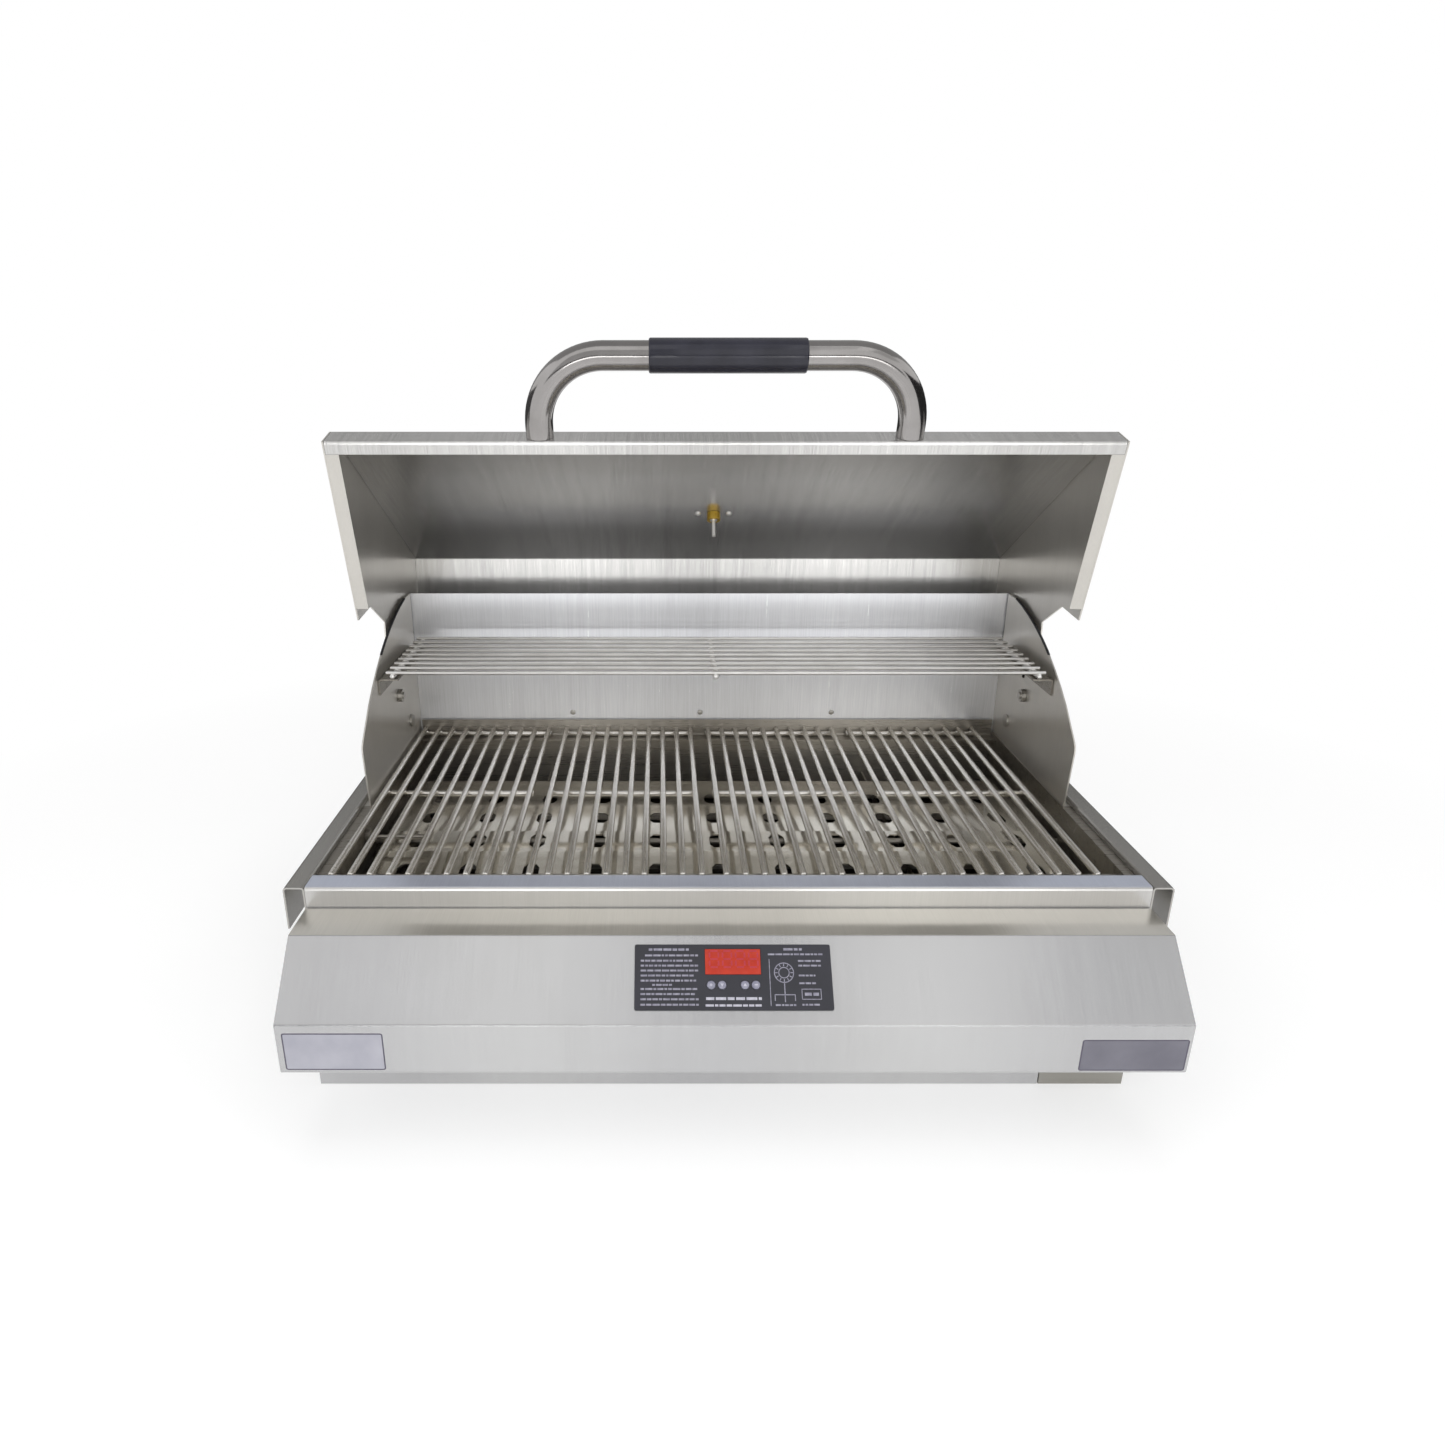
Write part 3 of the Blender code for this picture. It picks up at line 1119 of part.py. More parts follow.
def add_hinges():
    """Shoulder bolts on which the lid turns, their nuts, and the studs that stop it."""
    inner = CHEEK_INNER - GAP
    outer = CHEEK_OUTER + GAP
    head = LID_HALF_WIDTH + GAP
    pin = [
        (0, head + HINGE_HEAD_HEIGHT), (HINGE_HEAD_RADIUS, head + HINGE_HEAD_HEIGHT), (HINGE_HEAD_RADIUS, head),
        (HINGE_SHOULDER_RADIUS, head), (HINGE_SHOULDER_RADIUS, outer), (HINGE_THREAD_RADIUS, outer),
        (HINGE_THREAD_RADIUS, inner - HINGE_NUT_HEIGHT - HINGE_THREAD_PROUD),
        (0, inner - HINGE_NUT_HEIGHT - HINGE_THREAD_PROUD),
    ]
    bore = HINGE_THREAD_RADIUS + GAP
    nut = [
        (bore, inner), (HINGE_NUT_RADIUS, inner), (HINGE_NUT_RADIUS, inner - HINGE_NUT_HEIGHT),
        (bore, inner - HINGE_NUT_HEIGHT),
    ]
    stud = [
        (0, LID_HALF_WIDTH + STOP_PROUD), (STOP_RADIUS, LID_HALF_WIDTH + STOP_PROUD), (STOP_RADIUS, inner),
        (STOP_HEAD_RADIUS, inner), (STOP_HEAD_RADIUS, inner - STOP_HEAD_HEIGHT), (0, inner - STOP_HEAD_HEIGHT),
    ]
    stop = stop_centre()
    for label, flip in (("right", Matrix.Identity(4)), ("left", Matrix.Rotation(math.pi, 4, "Z"))):
        turned(f"hinge_pin_{label}", pin, ROD_STEEL, at(y=HINGE_Y, z=HINGE_Z) @ flip @ ALONG_X, 16)
        turned(f"hinge_nut_{label}", nut, ROD_STEEL, at(y=HINGE_Y, z=HINGE_Z) @ flip @ ALONG_X, 12, ring=True)
        turned(f"lid_stop_{label}", stud, ROD_STEEL, at(y=stop[0], z=stop[1]) @ flip @ ALONG_X, 16)


def handle_foot():
    """Where the handle's legs meet the skirt of the closed lid, in YZ about the hinge axis."""
    return lid_point(LID_FRONT, LID_REST_HEIGHT + LID_SKIRT_HEIGHT / 2)


def add_handle(pivot):
    """Bent tube, its grip sleeve and the two bolts that hold it through the skirt."""
    y, z = handle_foot()
    bar = y - HANDLE_STANDOFF
    bend = HANDLE_BEND_RADIUS
    corner = HANDLE_HALF_SPAN - bend
    plan = [(-HANDLE_HALF_SPAN, y - GAP)]
    plan += arc((-corner, bar + bend), bend, math.pi, 3 * math.pi / 2, HANDLE_BEND_STEPS)
    plan += arc((corner, bar + bend), bend, -math.pi / 2, 0, HANDLE_BEND_STEPS)
    plan.append((HANDLE_HALF_SPAN, y - GAP))
    handle = as_mesh(tube("handle_tube", [(a, b, z) for a, b in plan], HANDLE_RADIUS, BRIGHT, 4), BRIGHT)
    smooth(ride(handle, pivot))
    inside = y + SHEET + GAP
    shank = inside - y + HANDLE_BOLT_DEPTH
    bolt = [
        (0, shank), (HANDLE_BOLT_RADIUS, shank), (HANDLE_BOLT_RADIUS, 0), (HANDLE_BOLT_HEAD_RADIUS, 0),
        (HANDLE_BOLT_HEAD_RADIUS, -HANDLE_BOLT_HEAD_HEIGHT), (0, -HANDLE_BOLT_HEAD_HEIGHT),
    ]
    for label, x in (("left", -HANDLE_HALF_SPAN), ("right", HANDLE_HALF_SPAN)):
        ends = [((x, y - HANDLE_BOLT_DEPTH - 2 * GAP, z), (x, y + OVERRUN, z))]
        bore = ride(rods(f"cut_leg_{label}", ends, HANDLE_BOLT_RADIUS + 2 * GAP, 16), pivot)
        combine(handle, bore)
        ride(turned(f"handle_bolt_{label}", bolt, ROD_STEEL, at(x, inside, z) @ FORWARD, 12), pivot)
    half = GRIP_LENGTH / 2
    hole = HANDLE_RADIUS + GAP
    grip = [
        (hole, half), (GRIP_RADIUS - GRIP_EDGE, half), (GRIP_RADIUS, half - GRIP_EDGE),
        (GRIP_RADIUS, GRIP_EDGE - half), (GRIP_RADIUS - GRIP_EDGE, -half), (hole, -half),
    ]
    ride(turned("handle_grip", grip, RUBBER, at(y=bar, z=z) @ ALONG_X, 24, ring=True), pivot)


def thermometer_frame():
    """Axes of the thermometer in the closed lid's frame: z stands off the slanted panel."""
    foot = Vector((0, *lid_point(LID_FRONT, LID_REST_HEIGHT + LID_SKIRT_HEIGHT)))
    head = Vector((0, *lid_point(-LID_SLANT_BEFORE, LID_SLANT_HEIGHT)))
    along = (head - foot).normalized()
    across = Vector((1, 0, 0))
    axes = Matrix((across, along, across.cross(along))).transposed()
    return Matrix.Translation(foot.lerp(head, THERMOMETER_UP_SHARE)) @ axes.to_4x4()


def add_thermometer(pivot):
    """Case, dial, needle and glass outside the lid, with the stem and its fitting through it."""
    frame = thermometer_frame()
    floor = GAP + BEZEL_FLOOR
    dial_top = floor + GAP + DIAL_THICKNESS
    inner = BEZEL_RADIUS - BEZEL_WALL
    ledge = inner - BEZEL_STEP
    rim = GAP + BEZEL_DEPTH
    seat = rim - GLASS_THICKNESS - 2 * GAP
    bore = STEM_RADIUS + GAP
    case = [
        (bore, floor), (ledge, floor), (ledge, seat), (inner, seat), (inner, rim),
        (BEZEL_RADIUS, rim), (BEZEL_RADIUS, GAP), (bore, GAP),
    ]
    ride(turned("thermometer_bezel", case, BRIGHT, frame, 24, ring=True), pivot)
    eye = SPINDLE_RADIUS + GAP
    dial = [(eye, dial_top), (ledge - GAP, dial_top), (ledge - GAP, floor + GAP), (eye, floor + GAP)]
    ride(turned("thermometer_dial", dial, DIAL, frame, 24, ring=True), pivot)
    glass = [(0, seat + GAP + GLASS_THICKNESS), (inner - GAP, seat + GAP + GLASS_THICKNESS),
             (inner - GAP, seat + GAP), (0, seat + GAP)]
    ride(turned("thermometer_glass", glass, GLASS, frame, 24), pivot)
    low = dial_top + NEEDLE_LIFT
    high = low + NEEDLE_THICKNESS
    outline = rounded([
        (-NEEDLE_WIDTH / 2, -NEEDLE_TAIL), (NEEDLE_WIDTH / 2, -NEEDLE_TAIL), (NEEDLE_WIDTH / 2, 0),
        (0, NEEDLE_LENGTH), (-NEEDLE_WIDTH / 2, 0),
    ], NEEDLE_WIDTH / 8, 2, closed=True)
    rest = frame @ at(z=(low + high) / 2) @ Matrix.Rotation(NEEDLE_REST_ANGLE, 4, "Z")
    needle = as_mesh(flat_plate("thermometer_needle", outline, NEEDLE_THICKNESS, BLACK, frame=rest), BLACK)
    ride(needle, pivot)
    middle = (high - low) / 2 + OVERLAP
    hub = [(0, middle), (NEEDLE_HUB_RADIUS, middle), (NEEDLE_HUB_RADIUS, -middle), (0, -middle)]
    combine(needle, ride(turned("join_hub", hub, None, needle.matrix_basis.copy(), 18), pivot), "UNION")
    eye_cut = hole_cutter("cut_spindle", (0, 0, 0), (0, 0, 1), eye, 2 * OVERRUN, 12)
    eye_cut.matrix_world = needle.matrix_basis.copy()
    combine(needle, ride(eye_cut, pivot))
    nut_top = -SHEET - GAP
    stem_end = nut_top - FITTING_LENGTH - GAP
    tip = -SHEET - PROBE_LENGTH
    spindle_top = high + OVERLAP + GAP
    stem = [
        (0, spindle_top), (SPINDLE_RADIUS, spindle_top), (SPINDLE_RADIUS, floor), (STEM_RADIUS, floor),
        (STEM_RADIUS, stem_end), (PROBE_RADIUS, stem_end), (PROBE_RADIUS, tip), (0, tip),
    ]
    ride(turned("thermometer_stem", stem, BRASS, frame, 16), pivot)
    nut = [(bore, nut_top), (FITTING_RADIUS, nut_top), (FITTING_RADIUS, stem_end + GAP), (bore, stem_end + GAP)]
    ride(turned("thermometer_nut", nut, BRASS, frame, 12, ring=True), pivot)


def build():
    """Model every piece of the grill."""
    add_body_shell()
    add_liner()
    add_cheeks()
    add_back_wall()
    add_flanges_and_rail()
    add_control_housing()
    add_control_panel()
    add_grates()
    add_grate_ledges()
    add_heat_shield()
    add_heating_element()
    add_temperature_sensor()
    add_drip_tray()
    add_cable_gland()
    add_warming_rack()
    lid_pivot = add_lid()
    add_hinges()
    add_handle(lid_pivot)
    add_thermometer(lid_pivot)


build()
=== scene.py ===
"""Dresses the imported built-in electric grill: finishes, round rods, printed panel, dial, lamps and camera.

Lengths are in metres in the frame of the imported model: +X is right, +Y runs back and +Z is up.
"""

import logging
import math
import random
from dataclasses import dataclass
from enum import Enum
from typing import Any, Callable, Iterable, Sequence

import bmesh
import bpy
from mathutils import Matrix, Vector


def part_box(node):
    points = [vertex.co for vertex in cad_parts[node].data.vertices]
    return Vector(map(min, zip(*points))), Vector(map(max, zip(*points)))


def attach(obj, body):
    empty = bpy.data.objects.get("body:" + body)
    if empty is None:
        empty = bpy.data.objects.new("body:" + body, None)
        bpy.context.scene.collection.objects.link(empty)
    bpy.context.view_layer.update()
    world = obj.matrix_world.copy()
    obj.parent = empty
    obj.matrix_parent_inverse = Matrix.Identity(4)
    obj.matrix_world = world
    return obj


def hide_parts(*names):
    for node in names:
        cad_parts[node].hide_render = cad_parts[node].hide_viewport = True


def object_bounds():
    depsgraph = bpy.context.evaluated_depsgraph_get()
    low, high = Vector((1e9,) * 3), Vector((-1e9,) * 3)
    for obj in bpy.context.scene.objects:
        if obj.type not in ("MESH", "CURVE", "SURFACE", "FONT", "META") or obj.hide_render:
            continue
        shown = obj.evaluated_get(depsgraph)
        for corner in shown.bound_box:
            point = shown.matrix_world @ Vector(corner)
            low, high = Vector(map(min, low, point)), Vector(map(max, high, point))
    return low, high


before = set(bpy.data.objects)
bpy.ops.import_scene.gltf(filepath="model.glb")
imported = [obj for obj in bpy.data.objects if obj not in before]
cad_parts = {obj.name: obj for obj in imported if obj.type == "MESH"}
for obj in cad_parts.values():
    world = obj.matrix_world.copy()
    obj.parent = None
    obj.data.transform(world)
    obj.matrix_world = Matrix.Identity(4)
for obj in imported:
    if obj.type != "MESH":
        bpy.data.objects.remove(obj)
CAD_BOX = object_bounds()

LOG = logging.getLogger("grill_scene")
MM = 0.001

Pair = tuple[float, float]
Triple = tuple[float, float, float]

# Hinge axis of the lid and the angle at which it stands open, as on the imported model
HINGE_Y = 0.1132
HINGE_Z = 0.259
LID_OPEN_ANGLE = math.radians(74.7)
OPEN_LID = Matrix.Translation((0, HINGE_Y, HINGE_Z)) @ Matrix.Rotation(-LID_OPEN_ANGLE, 4, "X")
ALONG_X = Matrix.Rotation(math.pi / 2, 4, "Y")
TO_FRONT = Matrix.Rotation(math.pi / 2, 4, "X")

# Rounded end of a rod, as shares of its reach and of the rod's radius
ROUND_END = ((0.0, 0.55), (0.35, 0.86), (1.0, 1.0))
# Low round screw head with a shallow recess, as shares of its radius and height
SCREW_HEAD = ((1.0, 0.0), (1.0, 0.35), (0.86, 0.75), (0.60, 0.97), (0.34, 1.0), (0.28, 0.62), (0.02, 0.62))
SCREW_SIDES = 16
# Steps of each quarter turn of a round corner
CORNER_STEPS = 4
# The wave texture makes this many bands in a length of tau at a scale of one
WAVE_BANDS = 20


def linear(code: str) -> tuple[float, float, float, float]:
    """Turns an sRGB hex colour, six digits after a hash sign, to linear light with full opacity."""
    parts = [int(code[k:k + 2], 16) / 255 for k in (1, 3, 5)]
    return (*(v / 12.92 if v <= 0.04045 else ((v + 0.055) / 1.055) ** 2.4 for v in parts), 1.0)


def add_node(
    tree: bpy.types.NodeTree, kind: str, inputs: dict[str | int, Any] | None = None, **settings: Any,
) -> bpy.types.Node:
    """Adds a node, sets its properties, and fills or links its sockets.

    Args:
        tree: node tree that takes the node.
        kind: node type without its leading "ShaderNode".
        inputs: by input name or number, a plain value, an output socket, or a node for its first output.
        settings: node properties by name.

    Returns:
        The new node.
    """
    node = tree.nodes.new("ShaderNode" + kind)
    for name, value in settings.items():
        setattr(node, name, value)
    for key, value in (inputs or {}).items():
        source = value.outputs[0] if isinstance(value, bpy.types.Node) else value
        if isinstance(source, bpy.types.NodeSocket):
            tree.links.new(source, node.inputs[key])
        else:
            node.inputs[key].default_value = source
    return node


def painted(name: str, surface: Callable[[bpy.types.NodeTree], bpy.types.NodeSocket]) -> bpy.types.Material:
    """Gives the material of a name, making it on first use.

    Args:
        name: name of the material.
        surface: builds the shader in a node tree and gives its output.

    Returns:
        The material.
    """
    made = bpy.data.materials.get(name)
    if made is None:
        made = bpy.data.materials.new(name)
        made.use_nodes = True
        made.node_tree.nodes.clear()
        add_node(made.node_tree, "OutputMaterial", {"Surface": surface(made.node_tree)})
    return made


def placed(name: str, data: bpy.types.ID) -> bpy.types.Object:
    """Links new data into the scene as an object.

    Args:
        name: name of the object.
        data: its mesh, text, lamp or camera data.

    Returns:
        The new object.
    """
    made = bpy.data.objects.new(name, data)
    bpy.context.scene.collection.objects.link(made)
    return made


def solid(name: str, mesh: bmesh.types.BMesh, material: bpy.types.Material) -> bpy.types.Object:
    """Ends a mesh under construction and links it as an object.

    Args:
        name: name of the object.
        mesh: the mesh, which is freed.
        material: its one material.

    Returns:
        The new object.
    """
    data = bpy.data.meshes.new(name)
    mesh.to_mesh(data)
    mesh.free()
    data.materials.append(material)
    return placed(name, data)


class Grain(Enum):
    """Run of the brushing on a sheet: stretch of its lines in x, y and z, and the axis that they follow."""

    ACROSS = ((0.02, 1.0, 1.0), (1.0, 0.02, 0.05))
    DEPTH = ((1.0, 0.02, 1.0), (0.02, 1.0, 0.05))
    UPRIGHT = ((1.0, 1.0, 0.02), (0.02, 0.10, 1.0))
    RISING = ((1.0, 0.02, 0.02), (0.02, 0.10, 1.0))


@dataclass(frozen=True)
class Finish:
    """What every finish shares: its name and the shader that it ends in."""

    name: str

    def surface(self, tree: bpy.types.NodeTree) -> bpy.types.NodeSocket:
        """Builds the nodes of the finish and gives the shader output; each finish has its own."""
        raise NotImplementedError(self.name)

    def material(self) -> bpy.types.Material:
        """Gives the finish's material, making it on first use."""
        return painted(self.name, self.surface)


@dataclass(frozen=True)
class BrushedStainless(Finish):
    """Type 304 sheet brushed on a belt: long fine lines, a satin glow pulled across them, wide soft bands of
    painted reflection.
    """

    dark: str
    light: str
    grain: Grain = Grain.ACROSS
    roughness: float = 0.21
    rough_spread: float = 0.04
    pull: float = 0.65
    line_mm: float = 0.9
    line_depth_mm: float = 0.01
    lines_per_streak: float = 9.0
    streak_share: float = 0.40
    line_span: Pair = (0.15, 1.2)
    line_relief: float = 0.15
    band_mm: float = 340.0
    stain: str = "#8E8880"
    stain_share: float = 0.10
    stain_mm: float = 120.0
    stain_span: Pair = (0.48, 0.80)
    streak: float = 0.07
    haze: float = 0.25
    haze_roughness: float = 0.72
    # Pale tint on faces that look up, a painted reflection, and the upward tilt over which it comes in
    film: str = ""
    film_span: Pair = (0.92, 0.98)

    def brushing(
        self, tree: bpy.types.NodeTree, place: bpy.types.NodeSocket, width_mm: float, shape: dict[str, float],
    ) -> bpy.types.Node:
        """Builds noise that is drawn out along the brushing.

        Args:
            tree: the material's node tree.
            place: the point on the object.
            width_mm: width of a line.
            shape: further inputs of the noise.

        Returns:
            The noise node.
        """
        scales = [share / (width_mm * MM) for share in self.grain.value[0]]
        spot = add_node(tree, "Mapping", {"Vector": place, "Scale": scales})
        return add_node(tree, "TexNoise", {"Vector": spot, "Scale": 1.0, **shape})

    def tone(self, tree: bpy.types.NodeTree, place: bpy.types.NodeSocket) -> bpy.types.NodeSocket:
        """Builds the sheet's colour without its lines: painted reflection bands, stains and any painted top
        sheen.

        Args:
            tree: the material's node tree.
            place: the point on the object.

        Returns:
            The colour output.
        """
        # Soft bands along X between the dark and the light tone, a painted reflection of the room
        bands = add_node(tree, "TexWave", {
            "Vector": place, "Scale": math.tau / (WAVE_BANDS * self.band_mm * MM), "Distortion": 1.2,
            "Detail": 1.0, "Detail Scale": 2.0,
        }, bands_direction="X")
        sheet = add_node(tree, "Mix", {
            0: bands.outputs["Fac"], 6: linear(self.dark), 7: linear(self.light),
        }, data_type="RGBA").outputs[2]
        patches = add_node(tree, "TexNoise", {
            "Vector": place, "Scale": 1 / (self.stain_mm * MM), "Detail": 4.0,
        })
        amount = add_node(tree, "MapRange", {
            "Value": patches, "From Min": self.stain_span[0], "From Max": self.stain_span[1],
            "To Max": self.stain_share,
        })
        sheet = add_node(tree, "Mix", {
            0: amount, 6: sheet, 7: linear(self.stain),
        }, data_type="RGBA").outputs[2]
        if self.film:
            # Faces that look up get a pale tint, a painted reflection of the bright room above them
            facing = add_node(tree, "SeparateXYZ", {0: add_node(tree, "NewGeometry").outputs["Normal"]})
            upward = add_node(tree, "MapRange", {
                "Value": facing.outputs["Z"], "From Min": self.film_span[0], "From Max": self.film_span[1],
            })
            sheet = add_node(tree, "Mix", {
                0: upward, 6: sheet, 7: linear(self.film),
            }, data_type="RGBA").outputs[2]
        return sheet

    def surface(self, tree: bpy.types.NodeTree) -> bpy.types.NodeSocket:
        """Builds lines, tone, roughness and the direction of the satin glow.

        Args:
            tree: the material's node tree.

        Returns:
            The shader output.
        """
        place = add_node(tree, "TexCoord").outputs["Object"]
        # Belt lines are a tenth of this width in fact, and would not show
        lines = self.brushing(tree, place, self.line_mm, {"Detail": 3.0, "Roughness": 0.65})
        streaks = self.brushing(tree, place, self.lines_per_streak * self.line_mm, {"Detail": 2.0})
        both = add_node(tree, "Math", {0: streaks, 1: self.streak_share, 2: lines}, operation="MULTIPLY_ADD")
        shade, rough = (
            add_node(tree, "MapRange", {
                "Value": both, "From Min": self.line_span[0], "From Max": self.line_span[1],
                "To Min": middle - spread, "To Max": middle + spread,
            })
            for middle, spread in ((1, self.streak), (self.roughness, self.rough_spread))
        )
        colour = add_node(tree, "VectorMath", {0: self.tone(tree, place), "Scale": shade}, operation="SCALE")
        relief = add_node(tree, "Bump", {
            "Height": lines, "Strength": self.line_relief, "Distance": self.line_depth_mm * MM,
        })
        normal = add_node(tree, "NewGeometry").outputs["Normal"]
        glow = add_node(tree, "VectorMath", {0: normal, 1: self.grain.value[1]}, operation="CROSS_PRODUCT")
        sheen = add_node(tree, "BsdfPrincipled", {
            "Base Color": colour, "Metallic": 1.0, "Roughness": rough, "Anisotropic": self.pull,
            "Tangent": glow, "Normal": relief,
        })
        # The torn edges of the belt lines scatter a share of the light widely
        veil = add_node(tree, "BsdfPrincipled", {
            "Base Color": colour, "Metallic": 1.0, "Roughness": self.haze_roughness, "Normal": relief,
        })
        return add_node(tree, "MixShader", {0: self.haze, 1: sheen, 2: veil}).outputs[0]


@dataclass(frozen=True)
class SolidFinish(Finish):
    """A moulded, fired, painted or printed surface: two close tones, its own grit and its own gloss."""

    dark: str
    light: str
    roughness: float = 0.5
    rough_span: Pair = (-0.06, 0.06)
    metallic: float = 0.0
    refraction: float = 1.5
    patch_mm: float = 20.0
    patch_noise: Pair = (4.0, 0.5)
    patch_span: Pair = (0.3, 0.7)
    grit_mm: float = 0.7
    grit_detail: float = 3.0
    grit_relief: float = 0.3
    grit_depth_mm: float = 0.02
    coat: float = 0.0
    glow: float = 0.0

    def surface(self, tree: bpy.types.NodeTree) -> bpy.types.NodeSocket:
        """Builds the cloudy colour, the grit's relief and the gloss.

        Args:
            tree: the material's node tree.

        Returns:
            The shader output.
        """
        place = add_node(tree, "TexCoord").outputs["Object"]
        clouds = add_node(tree, "TexNoise", {
            "Vector": place, "Scale": 1 / (self.patch_mm * MM), "Detail": self.patch_noise[0],
            "Roughness": self.patch_noise[1],
        })
        tone = add_node(tree, "MapRange", {
            "Value": clouds, "From Min": self.patch_span[0], "From Max": self.patch_span[1],
        })
        colour = add_node(tree, "Mix", {
            0: tone, 6: linear(self.dark), 7: linear(self.light),
        }, data_type="RGBA").outputs[2]
        grit = add_node(tree, "TexNoise", {
            "Vector": place, "Scale": 1 / (self.grit_mm * MM), "Detail": self.grit_detail,
        })
        rough = add_node(tree, "MapRange", {
            "Value": grit, "To Min": self.roughness + self.rough_span[0],
            "To Max": self.roughness + self.rough_span[1],
        })
        relief = add_node(tree, "Bump", {
            "Height": grit, "Strength": self.grit_relief, "Distance": self.grit_depth_mm * MM,
        })
        shader = add_node(tree, "BsdfPrincipled", {
            "Base Color": colour, "Metallic": self.metallic, "Roughness": rough, "IOR": self.refraction,
            "Coat Weight": self.coat, "Normal": relief, "Emission Strength": self.glow,
        })
        if self.glow:
            tree.links.new(colour, shader.inputs["Emission Color"])
        return shader.outputs[0]


@dataclass(frozen=True)
class DrawnMetal(SolidFinish):
    """Metal bar or tube pulled through a die: cloudy tone, fine pits and a bright bead of light along it."""

    roughness: float = 0.24
    rough_span: Pair = (-0.05, 0.08)
    metallic: float = 1.0
    patch_mm: float = 35.0
    patch_noise: Pair = (5.0, 0.6)
    grit_mm: float = 0.8
    grit_detail: float = 2.0
    grit_relief: float = 0.2
    grit_depth_mm: float = 0.01


@dataclass(frozen=True)
class ClearGlass(Finish):
    """Toughened flat glass: almost unseen face on, with a pale sheen at a low angle."""

    tint: str = "#F4F8F6"
    refraction: float = 1.5
    smear_mm: float = 9.0
    rough_span: Pair = (0.02, 0.10)
    opacity: float = 0.25

    def surface(self, tree: bpy.types.NodeTree) -> bpy.types.NodeSocket:
        """Builds clear glass, thinned by its opacity, with faint smears in its gloss.

        Args:
            tree: the material's node tree.

        Returns:
            The shader output.
        """
        place = add_node(tree, "TexCoord").outputs["Object"]
        smears = add_node(tree, "TexNoise", {
            "Vector": place, "Scale": 1 / (self.smear_mm * MM), "Detail": 3.0,
        })
        rough = add_node(tree, "MapRange", {
            "Value": smears, "To Min": self.rough_span[0], "To Max": self.rough_span[1],
        })
        return add_node(tree, "BsdfPrincipled", {
            "Base Color": linear(self.tint), "Roughness": rough, "IOR": self.refraction,
            "Transmission Weight": 1.0, "Alpha": self.opacity,
        }).outputs[0]


# Outer sheets: brushed up and down, so light spreads across them; their soft upright bands and pale top are
# painted reflection
PANEL_STEEL = BrushedStainless(
    "brushed_stainless_panel", "#BFBFC0", "#C8C8C8", Grain.RISING, haze=0.28, film="#F3F0E9",
)
# Front rail, the same sheet with a stronger satin and a pale blue painted reflection on its top
RAIL_STEEL = BrushedStainless(
    "satin_stainless_rail", "#C7C6C4", "#D4D3D0", Grain.RISING, haze=0.45, film="#E4E9F7",
)
# Lid sheet, brushed up and down with streaks that show
LID_STEEL = BrushedStainless(
    "bright_brushed_stainless_lid", "#CFCECC", "#DDDCDA", Grain.RISING, streak=0.28, haze=0.18,
)
# Back wall, the same sheet with its tone raised near white as painted reflection of the lit room in front,
# and few stains
WALL_STEEL = BrushedStainless(
    "reflection_brightened_stainless_wall", "#EEEFF2", "#F6F7FA", Grain.RISING, roughness=0.25, streak=0.14,
    haze=0.35, stain_share=0.04,
)
# Sheets that run front to back
SIDE_STEEL = BrushedStainless("brushed_stainless_side", "#B2B0AC", "#C8C6C2", Grain.DEPTH)
# End plates and cheeks, a little duller and warmer from heat
CHEEK_STEEL = BrushedStainless(
    "brushed_stainless_cheek", "#D3D0CA", "#E2DFD9", Grain.UPRIGHT, roughness=0.30, stain_share=0.2,
)
# Inside the cooking space: the same sheet, its tone lowered as painted shade of the deep box, with heat and
# grease stains
FIREBOX_STEEL = BrushedStainless(
    "shaded_heat_stained_stainless", "#97928A", "#B4AFA7", roughness=0.28, stain="#5E5548", stain_share=0.3,
    stain_mm=60.0,
)
# Heat shield, smooth enough to mirror the grates above it, and straw-coloured from heat
SHIELD_STEEL = BrushedStainless(
    "straw_tinted_stainless", "#DCD7CB", "#F0ECE2", roughness=0.09, pull=0.3, stain="#8A7F6C",
    stain_share=0.3, stain_mm=60.0, haze=0.2,
)
# Junction box cover, plain cold-rolled sheet with a thin grey coat
BOX_STEEL = BrushedStainless("grey_coated_box_steel", "#9B9993", "#B4B2AC", roughness=0.4, pull=0.4)
# Handle tube, buffed after bending, so it mirrors the room
TUBE_STEEL = DrawnMetal("buffed_stainless_tube", "#9B9896", "#AEABAA", roughness=0.12, patch_mm=60.0)
# Solid rods of the grates, with a straw tint from heat
ROD_STEEL = DrawnMetal("drawn_stainless_rod", "#E0DCD5", "#F3F0EB")
# Wires of the rack, more matt than the rods
WIRE_STEEL = DrawnMetal("bright_stainless_wire", "#DEDCD9", "#EEEDEB", roughness=0.36)
# Screws, pins and nuts, a duller grey
FASTENER_STEEL = DrawnMetal("machined_stainless_fastener", "#A9A6A0", "#C6C3BD", roughness=0.36)
# Bolts of the rack brackets, in a dark tone
BOLT_STEEL = DrawnMetal("dark_bracket_bolt", "#2A2826", "#4A4642", roughness=0.4)
# Bushing of the temperature probe, dull yellow
FITTING_BRASS = DrawnMetal("machined_brass", "#A9852F", "#DDBB55", roughness=0.3, patch_mm=5.0)
# Polycarbonate overlay of the panel, satin navy black
LABEL_FILM = SolidFinish(
    "printed_polycarbonate_film", "#171720", "#20202B", roughness=0.40, refraction=1.58, patch_mm=30.0,
    grit_mm=0.5, grit_depth_mm=0.008,
)
# Ink of the overlay's print, a lavender white
LABEL_INK = SolidFinish("screen_printed_ink", "#777585", "#9B9AA8", patch_mm=3.0, grit_mm=0.4)
# Bold ink under the keys, brighter than the fine print
TITLE_INK = SolidFinish("bold_screen_printed_ink", "#A5A3B1", "#C2C1CC", patch_mm=3.0)
# Red acrylic filter over the display, lit from behind
DISPLAY_FILTER = SolidFinish(
    "red_acrylic_filter", "#A62A16", "#B3351F", roughness=0.25, refraction=1.49, patch_mm=9.0,
    grit_depth_mm=0.004, glow=0.18,
)
